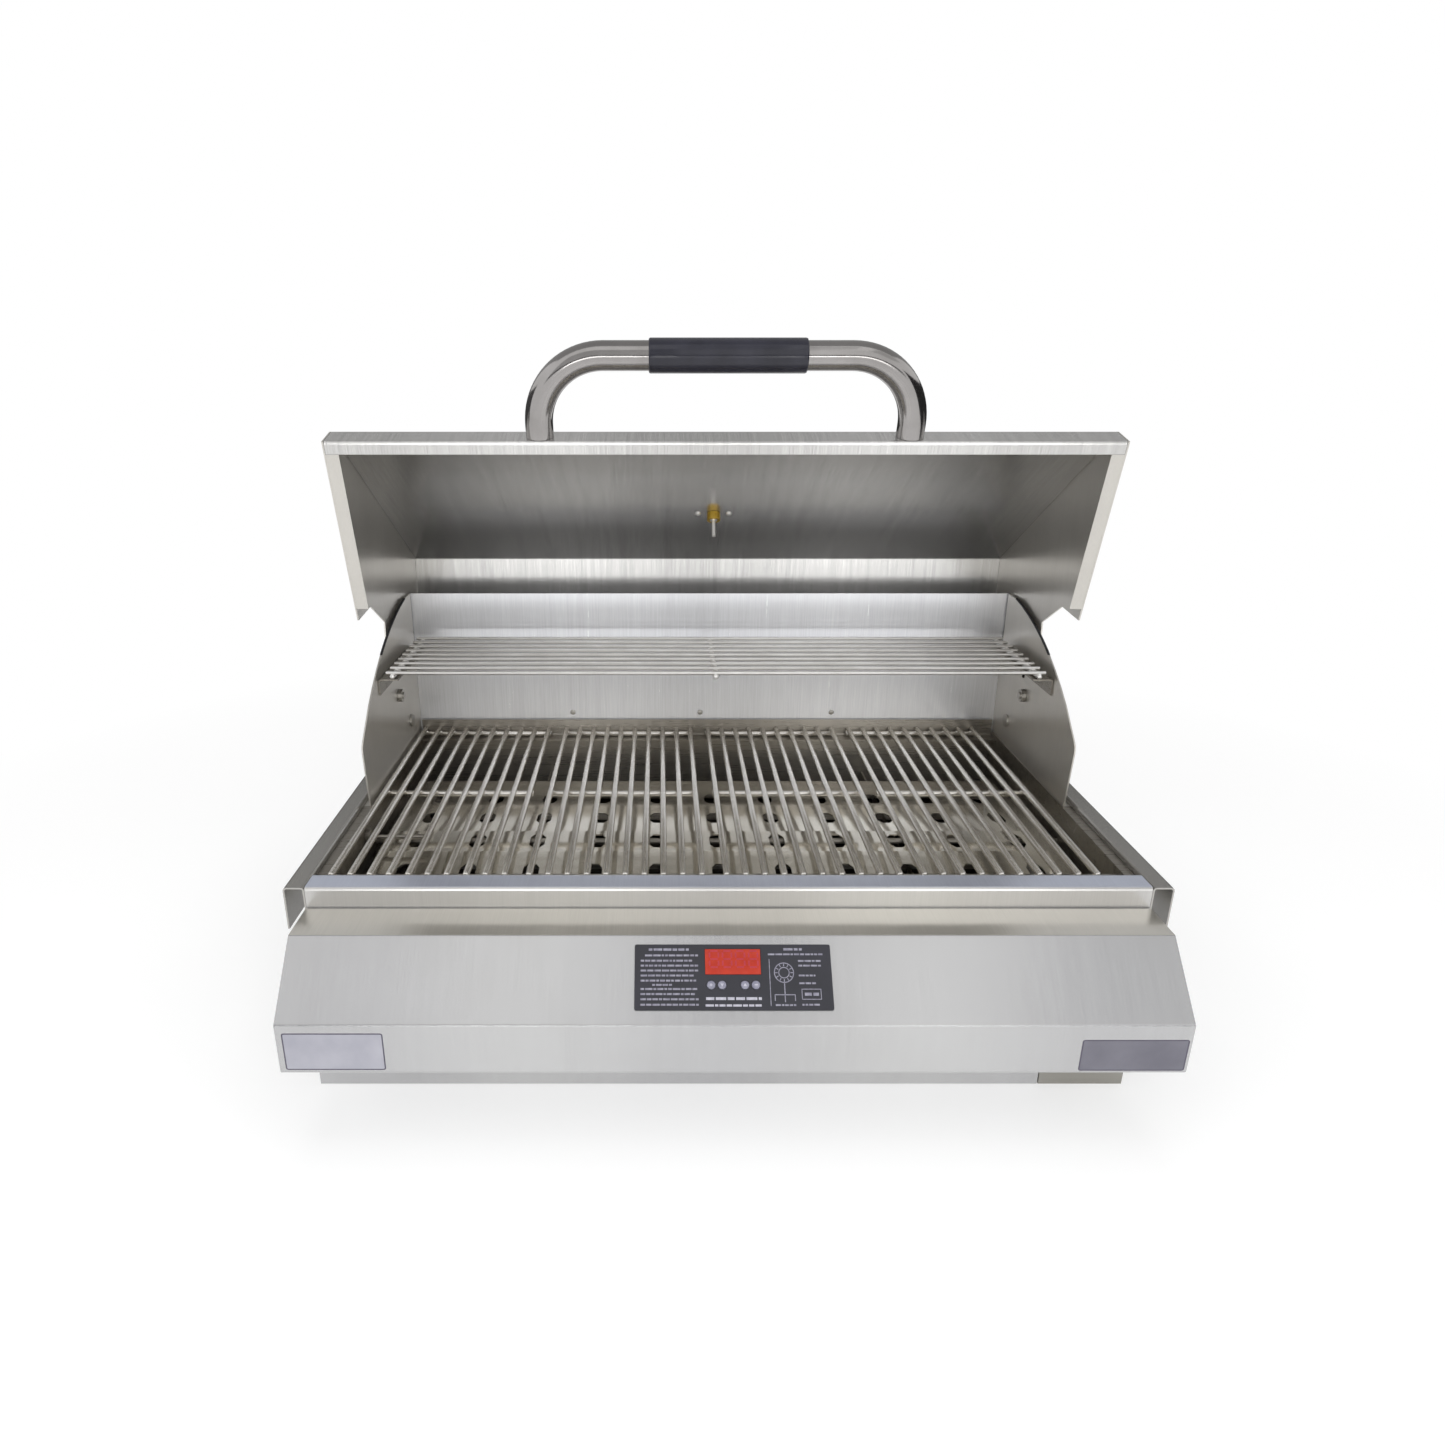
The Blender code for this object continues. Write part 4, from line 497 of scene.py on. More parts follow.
# Display segments seen through the filter, a deeper red
LIT_SEGMENT = SolidFinish("lit_display_segment", "#981F30", "#A42838", roughness=0.3, patch_mm=4.0, glow=0.2)
# Moulded silicone keys, soft blue grey
KEY_SILICONE = SolidFinish("moulded_silicone_key", "#77778A", "#9494A3", roughness=0.55, patch_mm=4.0)
# Rubber sleeve of the handle, soft black with a fine pebble and a low sheen
GRIP_RUBBER = SolidFinish(
    "moulded_nitrile_rubber", "#1F1F29", "#2B2B36", roughness=0.19, patch_mm=25.0, grit_mm=1.1,
    grit_depth_mm=0.06,
)
# Black strip on the cheeks' upper edges, a painted shadow of the gap between cheek and lid end
GAP_SHADE_STRIP = SolidFinish("black_painted_gap_shade", "#17171A", "#242428", roughness=0.6, grit_mm=0.9)
# Left plate of the valance, pale anodised foil
PLATE_FOIL = SolidFinish(
    "anodised_foil_plate", "#A8A8B3", "#BABAC3", roughness=0.42, patch_mm=30.0, grit_mm=0.6,
    grit_depth_mm=0.006,
)
# Right plate, a darker foil
GREY_FOIL = SolidFinish(
    "grey_anodised_foil_plate", "#6C6B76", "#7B7A84", roughness=0.42, patch_mm=30.0, grit_mm=0.6,
    grit_depth_mm=0.006,
)
# Dark border printed round both plates
PLATE_BORDER = SolidFinish("plate_border_ink", "#4A4656", "#5A5666", patch_mm=6.0)
# Dial of the thermometer, stoved white enamel
DIAL_ENAMEL = SolidFinish("white_dial_enamel", "#DDDBD2", "#ECEAE3", roughness=0.4, patch_mm=14.0, coat=0.3)
# Dial print and pointer, satin black
DIAL_BLACK = SolidFinish("black_dial_print", "#141416", "#202024", roughness=0.45, patch_mm=4.0)
# Insulator of the heating element, unglazed and chalky
STEATITE = SolidFinish("fired_steatite", "#C9C0AC", "#DED7C6", roughness=0.75, patch_mm=8.0, grit_mm=0.6)
# Circuit board, green under a clear resin
GLASS_LAMINATE = SolidFinish("green_glass_laminate", "#0F4A2A", "#17633A", roughness=0.35, patch_mm=7.0)
# Sheath of the element, dark from its first heating
OXIDE_SHEATH = SolidFinish(
    "oxidised_nickel_sheath", "#2E2B28", "#4A443D", roughness=0.55, metallic=0.8, patch_mm=18.0,
)
# Cable gland and other small mouldings, even black
BLACK_NYLON = SolidFinish("moulded_black_nylon", "#18181A", "#26262A", patch_mm=9.0)
# Glass over the dial
DIAL_GLASS = ClearGlass("toughened_dial_glass")

SLOT_FINISHES: dict[str, Finish] = {
    "brushed_stainless": PANEL_STEEL,
    "polished_stainless": TUBE_STEEL,
    "grey_box_steel": BOX_STEEL,
    "rod_steel": FASTENER_STEEL,
    "panel_label": LABEL_FILM,
    "display_red": DISPLAY_FILTER,
    "button_grey": KEY_SILICONE,
    "circuit_green": GLASS_LAMINATE,
    "element_sheath": OXIDE_SHEATH,
    "terminal_ceramic": STEATITE,
    "brass_fitting": FITTING_BRASS,
    "black_grip": GRIP_RUBBER,
    "dial_white": DIAL_ENAMEL,
    "dial_glass": DIAL_GLASS,
    "black_plastic": BLACK_NYLON,
}


def dress(finish: Finish, *names: str) -> None:
    """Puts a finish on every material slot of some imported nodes.

    Args:
        finish: the finish.
        names: names of the nodes.
    """
    for name in names:
        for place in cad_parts[name].material_slots:
            place.material = finish.material()


class Shape:
    """A mesh under construction: tubes, turned pieces and thin plates added one after another."""

    def __init__(self) -> None:
        """Starts an empty mesh."""
        self.mesh = bmesh.new()

    def sweep(self, rings: Sequence[Sequence[Vector]], closed: bool = False) -> "Shape":
        """Joins equal rings of points by quads and closes both ends.

        Args:
            rings: rings of points in order.
            closed: whether the last ring joins the first one.

        Returns:
            The shape itself.
        """
        made = [[self.mesh.verts.new(point) for point in ring] for ring in rings]
        pairs = list(zip(made, made[1:] + made[:1])) if closed else list(zip(made, made[1:]))
        for first, second in pairs:
            for k in range(len(first)):
                after = (k + 1) % len(first)
                self.mesh.faces.new((first[k], first[after], second[after], second[k]))
        if not closed:
            self.mesh.faces.new(list(reversed(made[0])))
            self.mesh.faces.new(made[-1])
        return self

    def tube(
        self, points: Sequence[Sequence[float]], radius: float, sides: int = 12, ends: float = 0.0,
    ) -> "Shape":
        """Sweeps a circle along points.

        Args:
            points: middle line of the tube.
            radius: radius of the circle.
            sides: number of flat sides.
            ends: share of the radius over which each end rounds off.

        Returns:
            The shape itself.
        """
        line = [Vector(point) for point in points]
        radii = [radius] * len(line)
        if ends:
            reach = ends * radius
            first = (line[1] - line[0]).normalized()
            last = (line[-1] - line[-2]).normalized()
            line = [
                *(line[0] + first * reach * far for far, _ in ROUND_END), *line[1:-1],
                *(line[-1] - last * reach * far for far, _ in reversed(ROUND_END)),
            ]
            cap = [radius * wide for _, wide in ROUND_END]
            radii = [*cap, *radii[1:-1], *reversed(cap)]
        ways = []
        for k in range(len(line)):
            before = line[max(k - 1, 0)]
            after = line[min(k + 1, len(line) - 1)]
            ways.append((after - before).normalized())
        side = ways[0].orthogonal().normalized()
        rings = []
        for point, way, size in zip(line, ways, radii):
            side = (side - way * side.dot(way)).normalized()
            other = way.cross(side)
            turns = [math.tau * j / sides for j in range(sides)]
            rings.append([point + size * (math.cos(t) * side + math.sin(t) * other) for t in turns])
        return self.sweep(rings)

    def turned(self, profile: Sequence[Pair], place: Matrix, steps: int = 24, ring: bool = False) -> "Shape":
        """Turns a profile about the local Z axis.

        Args:
            profile: radius and height pairs, from one end to the other.
            place: where the piece goes.
            steps: number of flat sides.
            ring: whether the profile closes on itself, as round a bore.

        Returns:
            The shape itself.
        """
        turns = [math.tau * j / steps for j in range(steps)]
        return self.sweep([
            [place @ Vector((radius * math.cos(t), radius * math.sin(t), height)) for t in turns]
            for radius, height in profile
        ], ring)

    def screw(self, radius: float, height: float, place: Matrix) -> "Shape":
        """Adds a low round screw head of a radius and height, seated at a place."""
        return self.turned([(radius * across, height * up) for across, up in SCREW_HEAD], place, SCREW_SIDES)

    def plate(self, outline: Sequence[Pair], low: float, high: float, place: Matrix) -> "Shape":
        """Raises a flat outline, in local X and Y, into a thin plate between two local heights."""
        return self.sweep([[place @ Vector((x, y, z)) for x, y in outline] for z in (low, high)])

    def piece(
        self, name: str, body: str, finish: Finish, slot: str, replaced: Iterable[str] = (),
        angle: float = 40.0,
    ) -> bpy.types.Object:
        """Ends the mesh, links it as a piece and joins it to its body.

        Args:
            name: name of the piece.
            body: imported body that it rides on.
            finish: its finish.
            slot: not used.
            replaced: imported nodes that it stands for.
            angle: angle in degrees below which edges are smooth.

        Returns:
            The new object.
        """
        bmesh.ops.recalc_face_normals(self.mesh, faces=self.mesh.faces)
        made = solid(name, self.mesh, finish.material())
        made.data.shade_smooth()
        made.data.set_sharp_from_angle(angle=math.radians(angle))
        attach(made, body)
        if replaced:
            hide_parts(*replaced)
        return made


def arc(centre: Pair, radius: float, start: float, end: float, steps: int) -> list[Pair]:
    """Gives points on an arc from one angle in radians to another, in equal steps and with both ends."""
    angles = [start + (end - start) * k / steps for k in range(steps + 1)]
    return [(centre[0] + radius * math.cos(a), centre[1] + radius * math.sin(a)) for a in angles]


def rectangle(left: float, low: float, right: float, high: float, corner: float = 0.0) -> list[Pair]:
    """Gives a rectangle's outline, with round corners where a radius is given.

    Args:
        left: lowest x.
        low: lowest y.
        right: highest x.
        high: highest y.
        corner: corner radius.

    Returns:
        The outline, anticlockwise.
    """
    if not corner:
        return [(left, low), (right, low), (right, high), (left, high)]
    quarter = math.pi / 2
    places = (
        (right - corner, low + corner, -quarter), (right - corner, high - corner, 0.0),
        (left + corner, high - corner, quarter), (left + corner, low + corner, 2 * quarter),
    )
    return [p for x, y, start in places for p in arc((x, y), corner, start, start + quarter, CORNER_STEPS)]


@dataclass
class CookingBody:
    """Hanging box of the grill with its flanges, rail, cheeks and back wall."""

    wall_y: float = 0.2038
    screw_xs: tuple[float, ...] = (-0.1693, -0.0091, 0.1562)
    screw_z: float = 0.2068
    screw_radius: float = 0.0032
    head_height: float = 0.0018
    cheek_x: float = 0.36225
    half_sheet: float = 0.00075
    strip_half_width: float = 0.0013
    strip_inset: float = 0.0006
    strip_height: float = 0.0016
    strip_profile: tuple[Pair, ...] = ((-1, 0.05), (1, 0.05), (1, 0.6), (0.5, 1.0), (-0.5, 1.0), (-1, 0.6))
    strip_steps: int = 16
    crown_nose: Pair = (-0.0358, 0.2520)
    crown_top: Pair = (0.1755, 0.3580)
    crown_radius: float = 0.372
    crown_shares: Pair = (0.50, 1.0)
    bolt_at: Pair = (0.1225, 0.2795)
    bolt_radius: float = 0.0021

    def dress(self) -> None:
        """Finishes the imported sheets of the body."""
        dress(PANEL_STEEL, "body_shell")
        dress(RAIL_STEEL, "front_rail")
        dress(WALL_STEEL, "back_wall")
        dress(SIDE_STEEL, "left_side_flange", "right_side_flange")
        dress(CHEEK_STEEL, "left_cheek", "right_cheek")
        dress(FIREBOX_STEEL, "liner", "front_grate_ledge", "rear_grate_ledge")

    def wall_screws(self) -> bpy.types.Object:
        """Builds the three screws low on the back wall.

        Returns:
            The piece.
        """
        shape = Shape()
        for x in self.screw_xs:
            place = Matrix.Translation((x, self.wall_y, self.screw_z)) @ TO_FRONT
            shape.screw(self.screw_radius, self.head_height, place)
        return shape.piece("wall_screws", "grill_body", FASTENER_STEEL, "rod_steel")

    def crown_line(self) -> list[tuple[Vector, Vector]]:
        """Gives points along the upper edge of a cheek, each with its outward direction, in YZ.

        Returns:
            Pairs of a point and a direction, with x left at nought.
        """
        nose, top = Vector((0, *self.crown_nose)), Vector((0, *self.crown_top))
        chord = top - nose
        inward = Vector((0, chord.z, -chord.y)).normalized()
        drop = math.sqrt(self.crown_radius ** 2 - (chord.length / 2) ** 2)
        centre = (nose + top) / 2 + inward * drop
        first, last = self.crown_shares
        line = []
        for k in range(self.strip_steps + 1):
            share = first + (last - first) * k / self.strip_steps
            outward = (nose - centre).slerp(top - centre, share).normalized()
            line.append((centre + outward * self.crown_radius, outward))
        return line

    def edge_strips(self) -> bpy.types.Object:
        """Builds the black strip along the upper edge of each cheek, a painted shadow of the gap under the
        lid end.

        Returns:
            The piece, with both strips.
        """
        shape = Shape()
        half, tall = self.strip_half_width, self.strip_height
        for side in (-1, 1):
            middle = side * (self.cheek_x - self.strip_inset)
            shape.sweep([
                [spot + Vector((middle + half * across, 0, 0)) + outward * tall * up
                 for across, up in self.strip_profile]
                for spot, outward in self.crown_line()
            ])
        return shape.piece("cheek_gap_shade_strips", "grill_body", GAP_SHADE_STRIP, "black_grip")

    def bracket_bolts(self) -> bpy.types.Object:
        """Builds the low bolt head under each rack bracket.

        Returns:
            The piece, with both heads.
        """
        shape = Shape()
        for side in (-1, 1):
            inner = side * (self.cheek_x - self.half_sheet)
            spot = Matrix.Translation((inner, *self.bolt_at)) @ Matrix.Rotation(-side * math.pi / 2, 4, "Y")
            shape.screw(self.bolt_radius, self.head_height, spot)
        return shape.piece("bracket_bolts", "grill_body", BOLT_STEEL, "black_plastic")

    def build(self) -> list[bpy.types.Object]:
        """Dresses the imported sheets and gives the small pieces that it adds."""
        self.dress()
        return [self.wall_screws(), self.edge_strips(), self.bracket_bolts()]


@dataclass
class ControlHousing:
    """Sloped housing in front of the body, with its two blank plates."""

    face_y: float = -0.3071
    left_plate: tuple[float, ...] = (-0.3640, 0.0772, -0.2825, 0.1128)
    right_plate: tuple[float, ...] = (0.2805, 0.0764, 0.3668, 0.1066)
    border: float = 0.0011
    corner: float = 0.001
    thickness: float = 0.00008
    border_share: float = 0.6

    def plate(self, name: str, sizes: tuple[float, ...], foil: Finish) -> list[bpy.types.Object]:
        """Builds one blank plate with its printed border.

        Args:
            name: name of the plate.
            sizes: left, low, right and high edges on the valance.
            foil: finish of its face.

        Returns:
            The border and the face.
        """
        place = Matrix.Translation((0, self.face_y, 0)) @ TO_FRONT
        left, low, right, high = sizes
        edge = self.border
        outer = rectangle(left, low, right, high, 2 * self.corner)
        inner = rectangle(left + edge, low + edge, right - edge, high - edge, self.corner)
        rim = Shape().plate(outer, 0.0, self.thickness * self.border_share, place)
        face = Shape().plate(inner, 0.0, self.thickness, place)
        return [
            rim.piece(f"{name}_border", "grill_body", PLATE_BORDER, "panel_label"),
            face.piece(f"{name}_face", "grill_body", foil, "dial_white"),
        ]

    def build(self) -> list[bpy.types.Object]:
        """Dresses the housing and adds its plates.

        Returns:
            The pieces made.
        """
        dress(PANEL_STEEL, "control_housing", "left_housing_end", "right_housing_end")
        return [
            *self.plate("left_plate", self.left_plate, PLATE_FOIL),
            *self.plate("right_plate", self.right_plate, GREY_FOIL),
        ]


@dataclass
class ControlPanel:
    """Printed panel on the slope, with its display, keys and board.

    A row of print is given as its left and right ends, its level and height in millimetres from the panel's
    middle, and the seed of its word lengths. A bar is given as its left, low, right and high edges.
    """

    centre: Triple = (0.0, -0.27973, 0.14684)
    up: Triple = (0.0, 0.71394, 0.70021)
    face: float = 0.0015
    ink: float = 0.00010
    window_up: float = 0.0124
    digit_height: float = 0.0130
    digit_width: float = 0.0072
    digit_pitch: float = 0.0106
    digits: int = 4
    segment: float = 0.0013
    key_xs: tuple[float, ...] = (-0.0182, -0.0093, 0.0093, 0.0182)
    key_down: float = 0.0065
    key_face: float = 0.0029
    word_height: float = 1.5
    word_lengths: Pair = (1.8, 6.2)
    word_gap: float = 0.55
    fine_rows: tuple[tuple[float, ...], ...] = (
        (-69.0, -36.0, 22.3, 1.9, 1), (-72.0, -28.5, 17.5, 1.5, 2), (-75.5, -31.5, 13.2, 1.5, 3),
        (-75.5, -28.5, 9.2, 1.5, 4), (-75.5, -28.5, 5.2, 1.5, 5), (-75.5, -31.5, 1.2, 1.5, 6),
        (-75.5, -28.5, -2.9, 1.5, 7), (-75.5, -28.5, -9.6, 1.5, 8), (-75.5, -31.5, -13.6, 1.5, 9),
        (-75.5, -28.5, -17.7, 1.5, 10), (-75.5, -28.5, -22.0, 1.5, 11), (-66.0, -50.0, -6.3, 1.4, 21),
        (42.0, 58.0, 22.5, 1.9, 22), (29.0, 74.0, 18.4, 1.4, 23), (53.5, 72.0, 13.0, 1.4, 24),
        (53.5, 72.0, 9.2, 1.4, 25), (53.5, 67.0, 1.2, 1.4, 26), (53.5, 67.0, -5.0, 1.4, 27),
        (55.0, 70.0, -22.0, 1.4, 31),
    )
    title_rows: tuple[tuple[float, ...], ...] = ((-22.5, 22.5, -17.2, 2.2, 53), (-23.0, 24.0, -22.6, 1.7, 54))
    figure_rows: tuple[tuple[float, ...], ...] = ((57.5, 69.0, -13.7, 2.4, 41), (33.5, 50.0, -22.3, 1.4, 42))
    figure_bars: tuple[tuple[float, ...], ...] = (
        (41.1, -20.0, 41.9, -5.0), (33.0, -14.5, 50.0, -13.8), (33.0, -19.0, 33.7, -13.8),
        (49.3, -19.0, 50.0, -13.8), (29.5, -23.0, 30.1, 14.5), (55.0, -18.0, 71.0, -17.4),
        (55.0, -10.0, 71.0, -9.4), (55.0, -18.0, 55.6, -9.4), (70.4, -18.0, 71.0, -9.4),
    )
    gauge_middle: Pair = (41.5, 3.5)
    gauge_radii: Pair = (8.2, 4.6)
    gauge_line: float = 0.7
    gauge_marks: int = 12
    gauge_mark: Pair = (5.2, 7.4)
    gauge_sides: int = 32
    dot_mm: float = 1.1
    dot_sides: int = 12
    arrow_mm: Pair = (1.5, 1.0)
    bar_mm: Pair = (1.3, 0.45)

    def place(self) -> Matrix:
        """Gives the panel's axes: x across, y up the slope and z off its face."""
        across, up = Vector((1, 0, 0)), Vector(self.up)
        return Matrix.Translation(self.centre) @ Matrix((across, up, across.cross(up))).transposed().to_4x4()

    def raise_ink(self, shape: Shape, outline: Sequence[Pair], spot: Matrix = Matrix()) -> None:
        """Adds an inked outline, given in millimetres about a spot on the panel, to a shape."""
        points = [(x * MM, y * MM) for x, y in outline]
        shape.plate(points, self.face, self.face + self.ink, self.place() @ spot)

    def words(self, shape: Shape, left: float, right: float, level: float, height: float, seed: int) -> None:
        """Adds a row of word bars.

        Args:
            shape: mesh that takes them.
            left: where the row starts, in millimetres from the middle.
            right: where it ends.
            level: height of its middle on the panel.
            height: height of the bars.
            seed: start of the row's word lengths.
        """
        lengths = random.Random(seed)
        at = left
        while at < right - height:
            end = min(at + lengths.uniform(*self.word_lengths) * height / self.word_height, right)
            self.raise_ink(shape, rectangle(at, level - height / 2, end, level + height / 2))
            at = end + self.word_gap * height

    def rows(self, name: str, rows: Sequence[Sequence[float]], ink: Finish) -> bpy.types.Object:
        """Builds a piece from rows of print.

        Args:
            name: name of the piece.
            rows: its rows.
            ink: finish of the print.

        Returns:
            The piece.
        """
        shape = Shape()
        for row in rows:
            self.words(shape, *row)
        return shape.piece(name, "grill_body", ink, "panel_label")

    def diagram(self) -> bpy.types.Object:
        """Builds the plain wiring figure on the right: a gauge ring, leads, boxes and a frame line.

        Returns:
            The piece.
        """
        shape = Shape()
        for radius in self.gauge_radii:
            outer = arc(self.gauge_middle, radius, 0.0, math.tau, self.gauge_sides)
            inner = arc(self.gauge_middle, radius - self.gauge_line, 0.0, math.tau, self.gauge_sides)
            for a, b, c, d in zip(outer, outer[1:], inner[1:], inner):
                self.raise_ink(shape, [a, b, c, d])
        start, end = self.gauge_mark
        for k in range(self.gauge_marks):
            turn = Matrix.Rotation(math.tau * k / self.gauge_marks, 4, "Z")
            spot = Matrix.Translation(Vector((*self.gauge_middle, 0)) * MM) @ turn
            self.raise_ink(shape, rectangle(start, -self.gauge_line / 2, end, self.gauge_line / 2), spot)
        for bar in self.figure_bars:
            self.raise_ink(shape, rectangle(*bar))
        for row in self.figure_rows:
            self.words(shape, *row)
        return shape.piece("panel_diagram", "grill_body", LABEL_INK, "panel_label")

    def figures(self) -> bpy.types.Object:
        """Builds the seven-segment figures on the filter's face.

        Returns:
            The piece.
        """
        low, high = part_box("display_window")
        top = max((self.place().inverted() @ Vector((0, low.y, high.z))).z, self.face)
        shape = Shape()
        half_h, half_w, bar = self.digit_height / 2, self.digit_width / 2, self.segment / 2
        for k in range(self.digits):
            middle = (k - (self.digits - 1) / 2) * self.digit_pitch
            flat = [
                (-half_w + bar, level - bar, half_w - bar, level + bar) for level in (-half_h, 0.0, half_h)
            ]
            upright = [
                (across - bar, start, across + bar, stop) for across in (-half_w, half_w)
                for start, stop in ((-half_h + 2 * bar, -2 * bar), (2 * bar, half_h - 2 * bar))
            ]
            for left, base, right, head in (*flat, *upright):
                outline = rectangle(
                    middle + left, self.window_up + base, middle + right, self.window_up + head,
                )
                shape.plate(outline, top, top + self.ink, self.place())
        return shape.piece("display_figures", "grill_body", LIT_SEGMENT, "display_red")

    def key_signs(self) -> list[bpy.types.Object]:
        """Builds the printed sign on each key: dot, down arrow, up arrow and bar.

        Returns:
            The pieces, from left to right.
        """
        last = self.dot_sides - 1
        tip, foot = (size * MM for size in self.arrow_mm)
        half, tall = (size * MM for size in self.bar_mm)
        signs = (
            arc((0, 0), self.dot_mm * MM, 0.0, math.tau * last / self.dot_sides, last),
            [(0, -tip), (tip, foot), (-tip, foot)],
            [(-tip, -foot), (tip, -foot), (0, tip)],
            rectangle(-half, -tall, half, tall),
        )
        made = []
        for k, (x, sign) in enumerate(zip(self.key_xs, signs), 1):
            place = self.place() @ Matrix.Translation((x, -self.key_down, 0))
            shape = Shape().plate(sign, self.key_face, self.key_face + self.ink, place)
            made.append(shape.piece(f"key_sign_{k}", f"button_{k}", TITLE_INK, "button_grey"))
        return made

    def build(self) -> list[bpy.types.Object]:
        """Dresses the panel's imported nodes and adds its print.

        Returns:
            The pieces made.
        """
        dress(LABEL_FILM, "control_panel_plate")
        dress(DISPLAY_FILTER, "display_window")
        dress(GLASS_LAMINATE, "circuit_board")
        dress(KEY_SILICONE, "button_1", "button_2", "button_3", "button_4")
        return [
            self.rows("panel_small_print", self.fine_rows, LABEL_INK), self.diagram(),
            self.rows("panel_title_bars", self.title_rows, TITLE_INK), self.figures(), *self.key_signs(),
        ]


@dataclass
class Firebox:
    """Heat shield, element and probe under the grates."""

    def build(self) -> list[bpy.types.Object]:
        """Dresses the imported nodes.

        Returns:
            No pieces, since it adds none.
        """
        dress(SHIELD_STEEL, "heat_shield")
        dress(FIREBOX_STEEL, "element_support_left", "element_support_right", "temperature_sensor")
        dress(FIREBOX_STEEL, "shield_rod_front", "shield_rod_middle", "shield_rod_rear")
        dress(OXIDE_SHEATH, "heating_element")
        dress(STEATITE, "element_terminal_block")
        return []


@dataclass
class Grates:
    """Four lift-out grates of round rods welded on cross bars."""

    count: int = 4
    rods: int = 10
    rod_pitch: float = 0.0173
    radius: float = 0.003175
    sink: float = 0.0012
    rod_sides: int = 14
    rod_rounding: float = 0.5
    bar_sides: int = 12
    bar_rounding: float = 0.4
    insets: Pair = (0.005, 0.192)
    rear_inset: float = 0.005
    bead_sides: int = 8
    bead_share: float = 0.7
    bead_radius: float = 0.0019
    bead_half: float = 0.0016
    bead_profile: tuple[Pair, ...] = ((0.1, -1.0), (0.7, -0.7), (1.0, 0.0), (0.7, 0.7), (0.1, 1.0))

    def grate(self, k: int) -> bpy.types.Object:
        """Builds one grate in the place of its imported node.

        Args:
            k: number of the grate from the left, starting at one.

        Returns:
            The piece.
        """
        low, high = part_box(f"grate_{k}")
        middle = (low.x + high.x) / 2
        rod_z = high.z - self.radius
        bar_z = rod_z - 2 * self.radius + self.sink
        shape = Shape()
        xs = [middle + (j - (self.rods - 1) / 2) * self.rod_pitch for j in range(self.rods)]
        for x in xs:
            line = [(x, low.y, rod_z), (x, high.y, rod_z)]
            shape.tube(line, self.radius, self.rod_sides, self.rod_rounding)
        bead = [(r * self.bead_radius, h * self.bead_half) for r, h in self.bead_profile]
        for y in (*(low.y + inset for inset in self.insets), high.y - self.rear_inset):
            line = [(low.x, y, bar_z), (high.x, y, bar_z)]
            shape.tube(line, self.radius, self.bar_sides, self.bar_rounding)
            for x in xs:
                for side in (-1, 1):
                    foot = x + side * self.bead_share * self.radius
                    spot = Matrix.Translation((foot, y, (rod_z + bar_z) / 2))
                    shape.turned(bead, spot, self.bead_sides)
        return shape.piece(f"grate_{k}_rods", f"grate_{k}", ROD_STEEL, "rod_steel", (f"grate_{k}",))

    def build(self) -> list[bpy.types.Object]:
        """Builds the grates and gives them."""
        return [self.grate(k + 1) for k in range(self.count)]


@dataclass
class WarmingRack:
    """Rack of thin wires on three bearers, and its two brackets."""

    wires: int = 9
    wire_radius: float = 0.002
    bearer_radius: float = 0.003
    bearer_xs: Triple = (-0.345, 0.0, 0.345)
    bearer_sides: int = 14
    bearer_rounding: float = 0.5
    wire_sides: int = 12
    wire_rounding: float = 0.6
    bead_sides: int = 10
    bead_lift: float = 0.0006
    bead_profile: tuple[Pair, ...] = (
        (0.0003, -0.0012), (0.0022, -0.0008), (0.0026, 0.0), (0.0022, 0.0008), (0.0003, 0.0012),
    )

    def build(self) -> list[bpy.types.Object]:
        """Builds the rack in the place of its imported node.

        Returns:
            The pieces made.
        """
        dress(FIREBOX_STEEL, "rack_bracket_left", "rack_bracket_right")
        low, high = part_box("warming_rack")
        frame_z = low.z + self.bearer_radius
        wire_z = high.z - self.wire_radius
        shape = Shape()
        for x in self.bearer_xs:
            line = [(x, low.y, frame_z), (x, high.y, frame_z)]
            shape.tube(line, self.bearer_radius, self.bearer_sides, self.bearer_rounding)
        first, last = low.y + self.bearer_radius, high.y - self.bearer_radius
        for k in range(self.wires):
            y = first + (last - first) * k / (self.wires - 1)
            line = [(low.x, y, wire_z), (high.x, y, wire_z)]
            shape.tube(line, self.wire_radius, self.wire_sides, self.wire_rounding)
            for x in self.bearer_xs:
                spot = Matrix.Translation((x, y, (frame_z + wire_z) / 2 + self.bead_lift))
                shape.turned(self.bead_profile, spot, self.bead_sides)
        return [shape.piece("rack_wires", "warming_rack", WIRE_STEEL, "rod_steel", ("warming_rack",))]


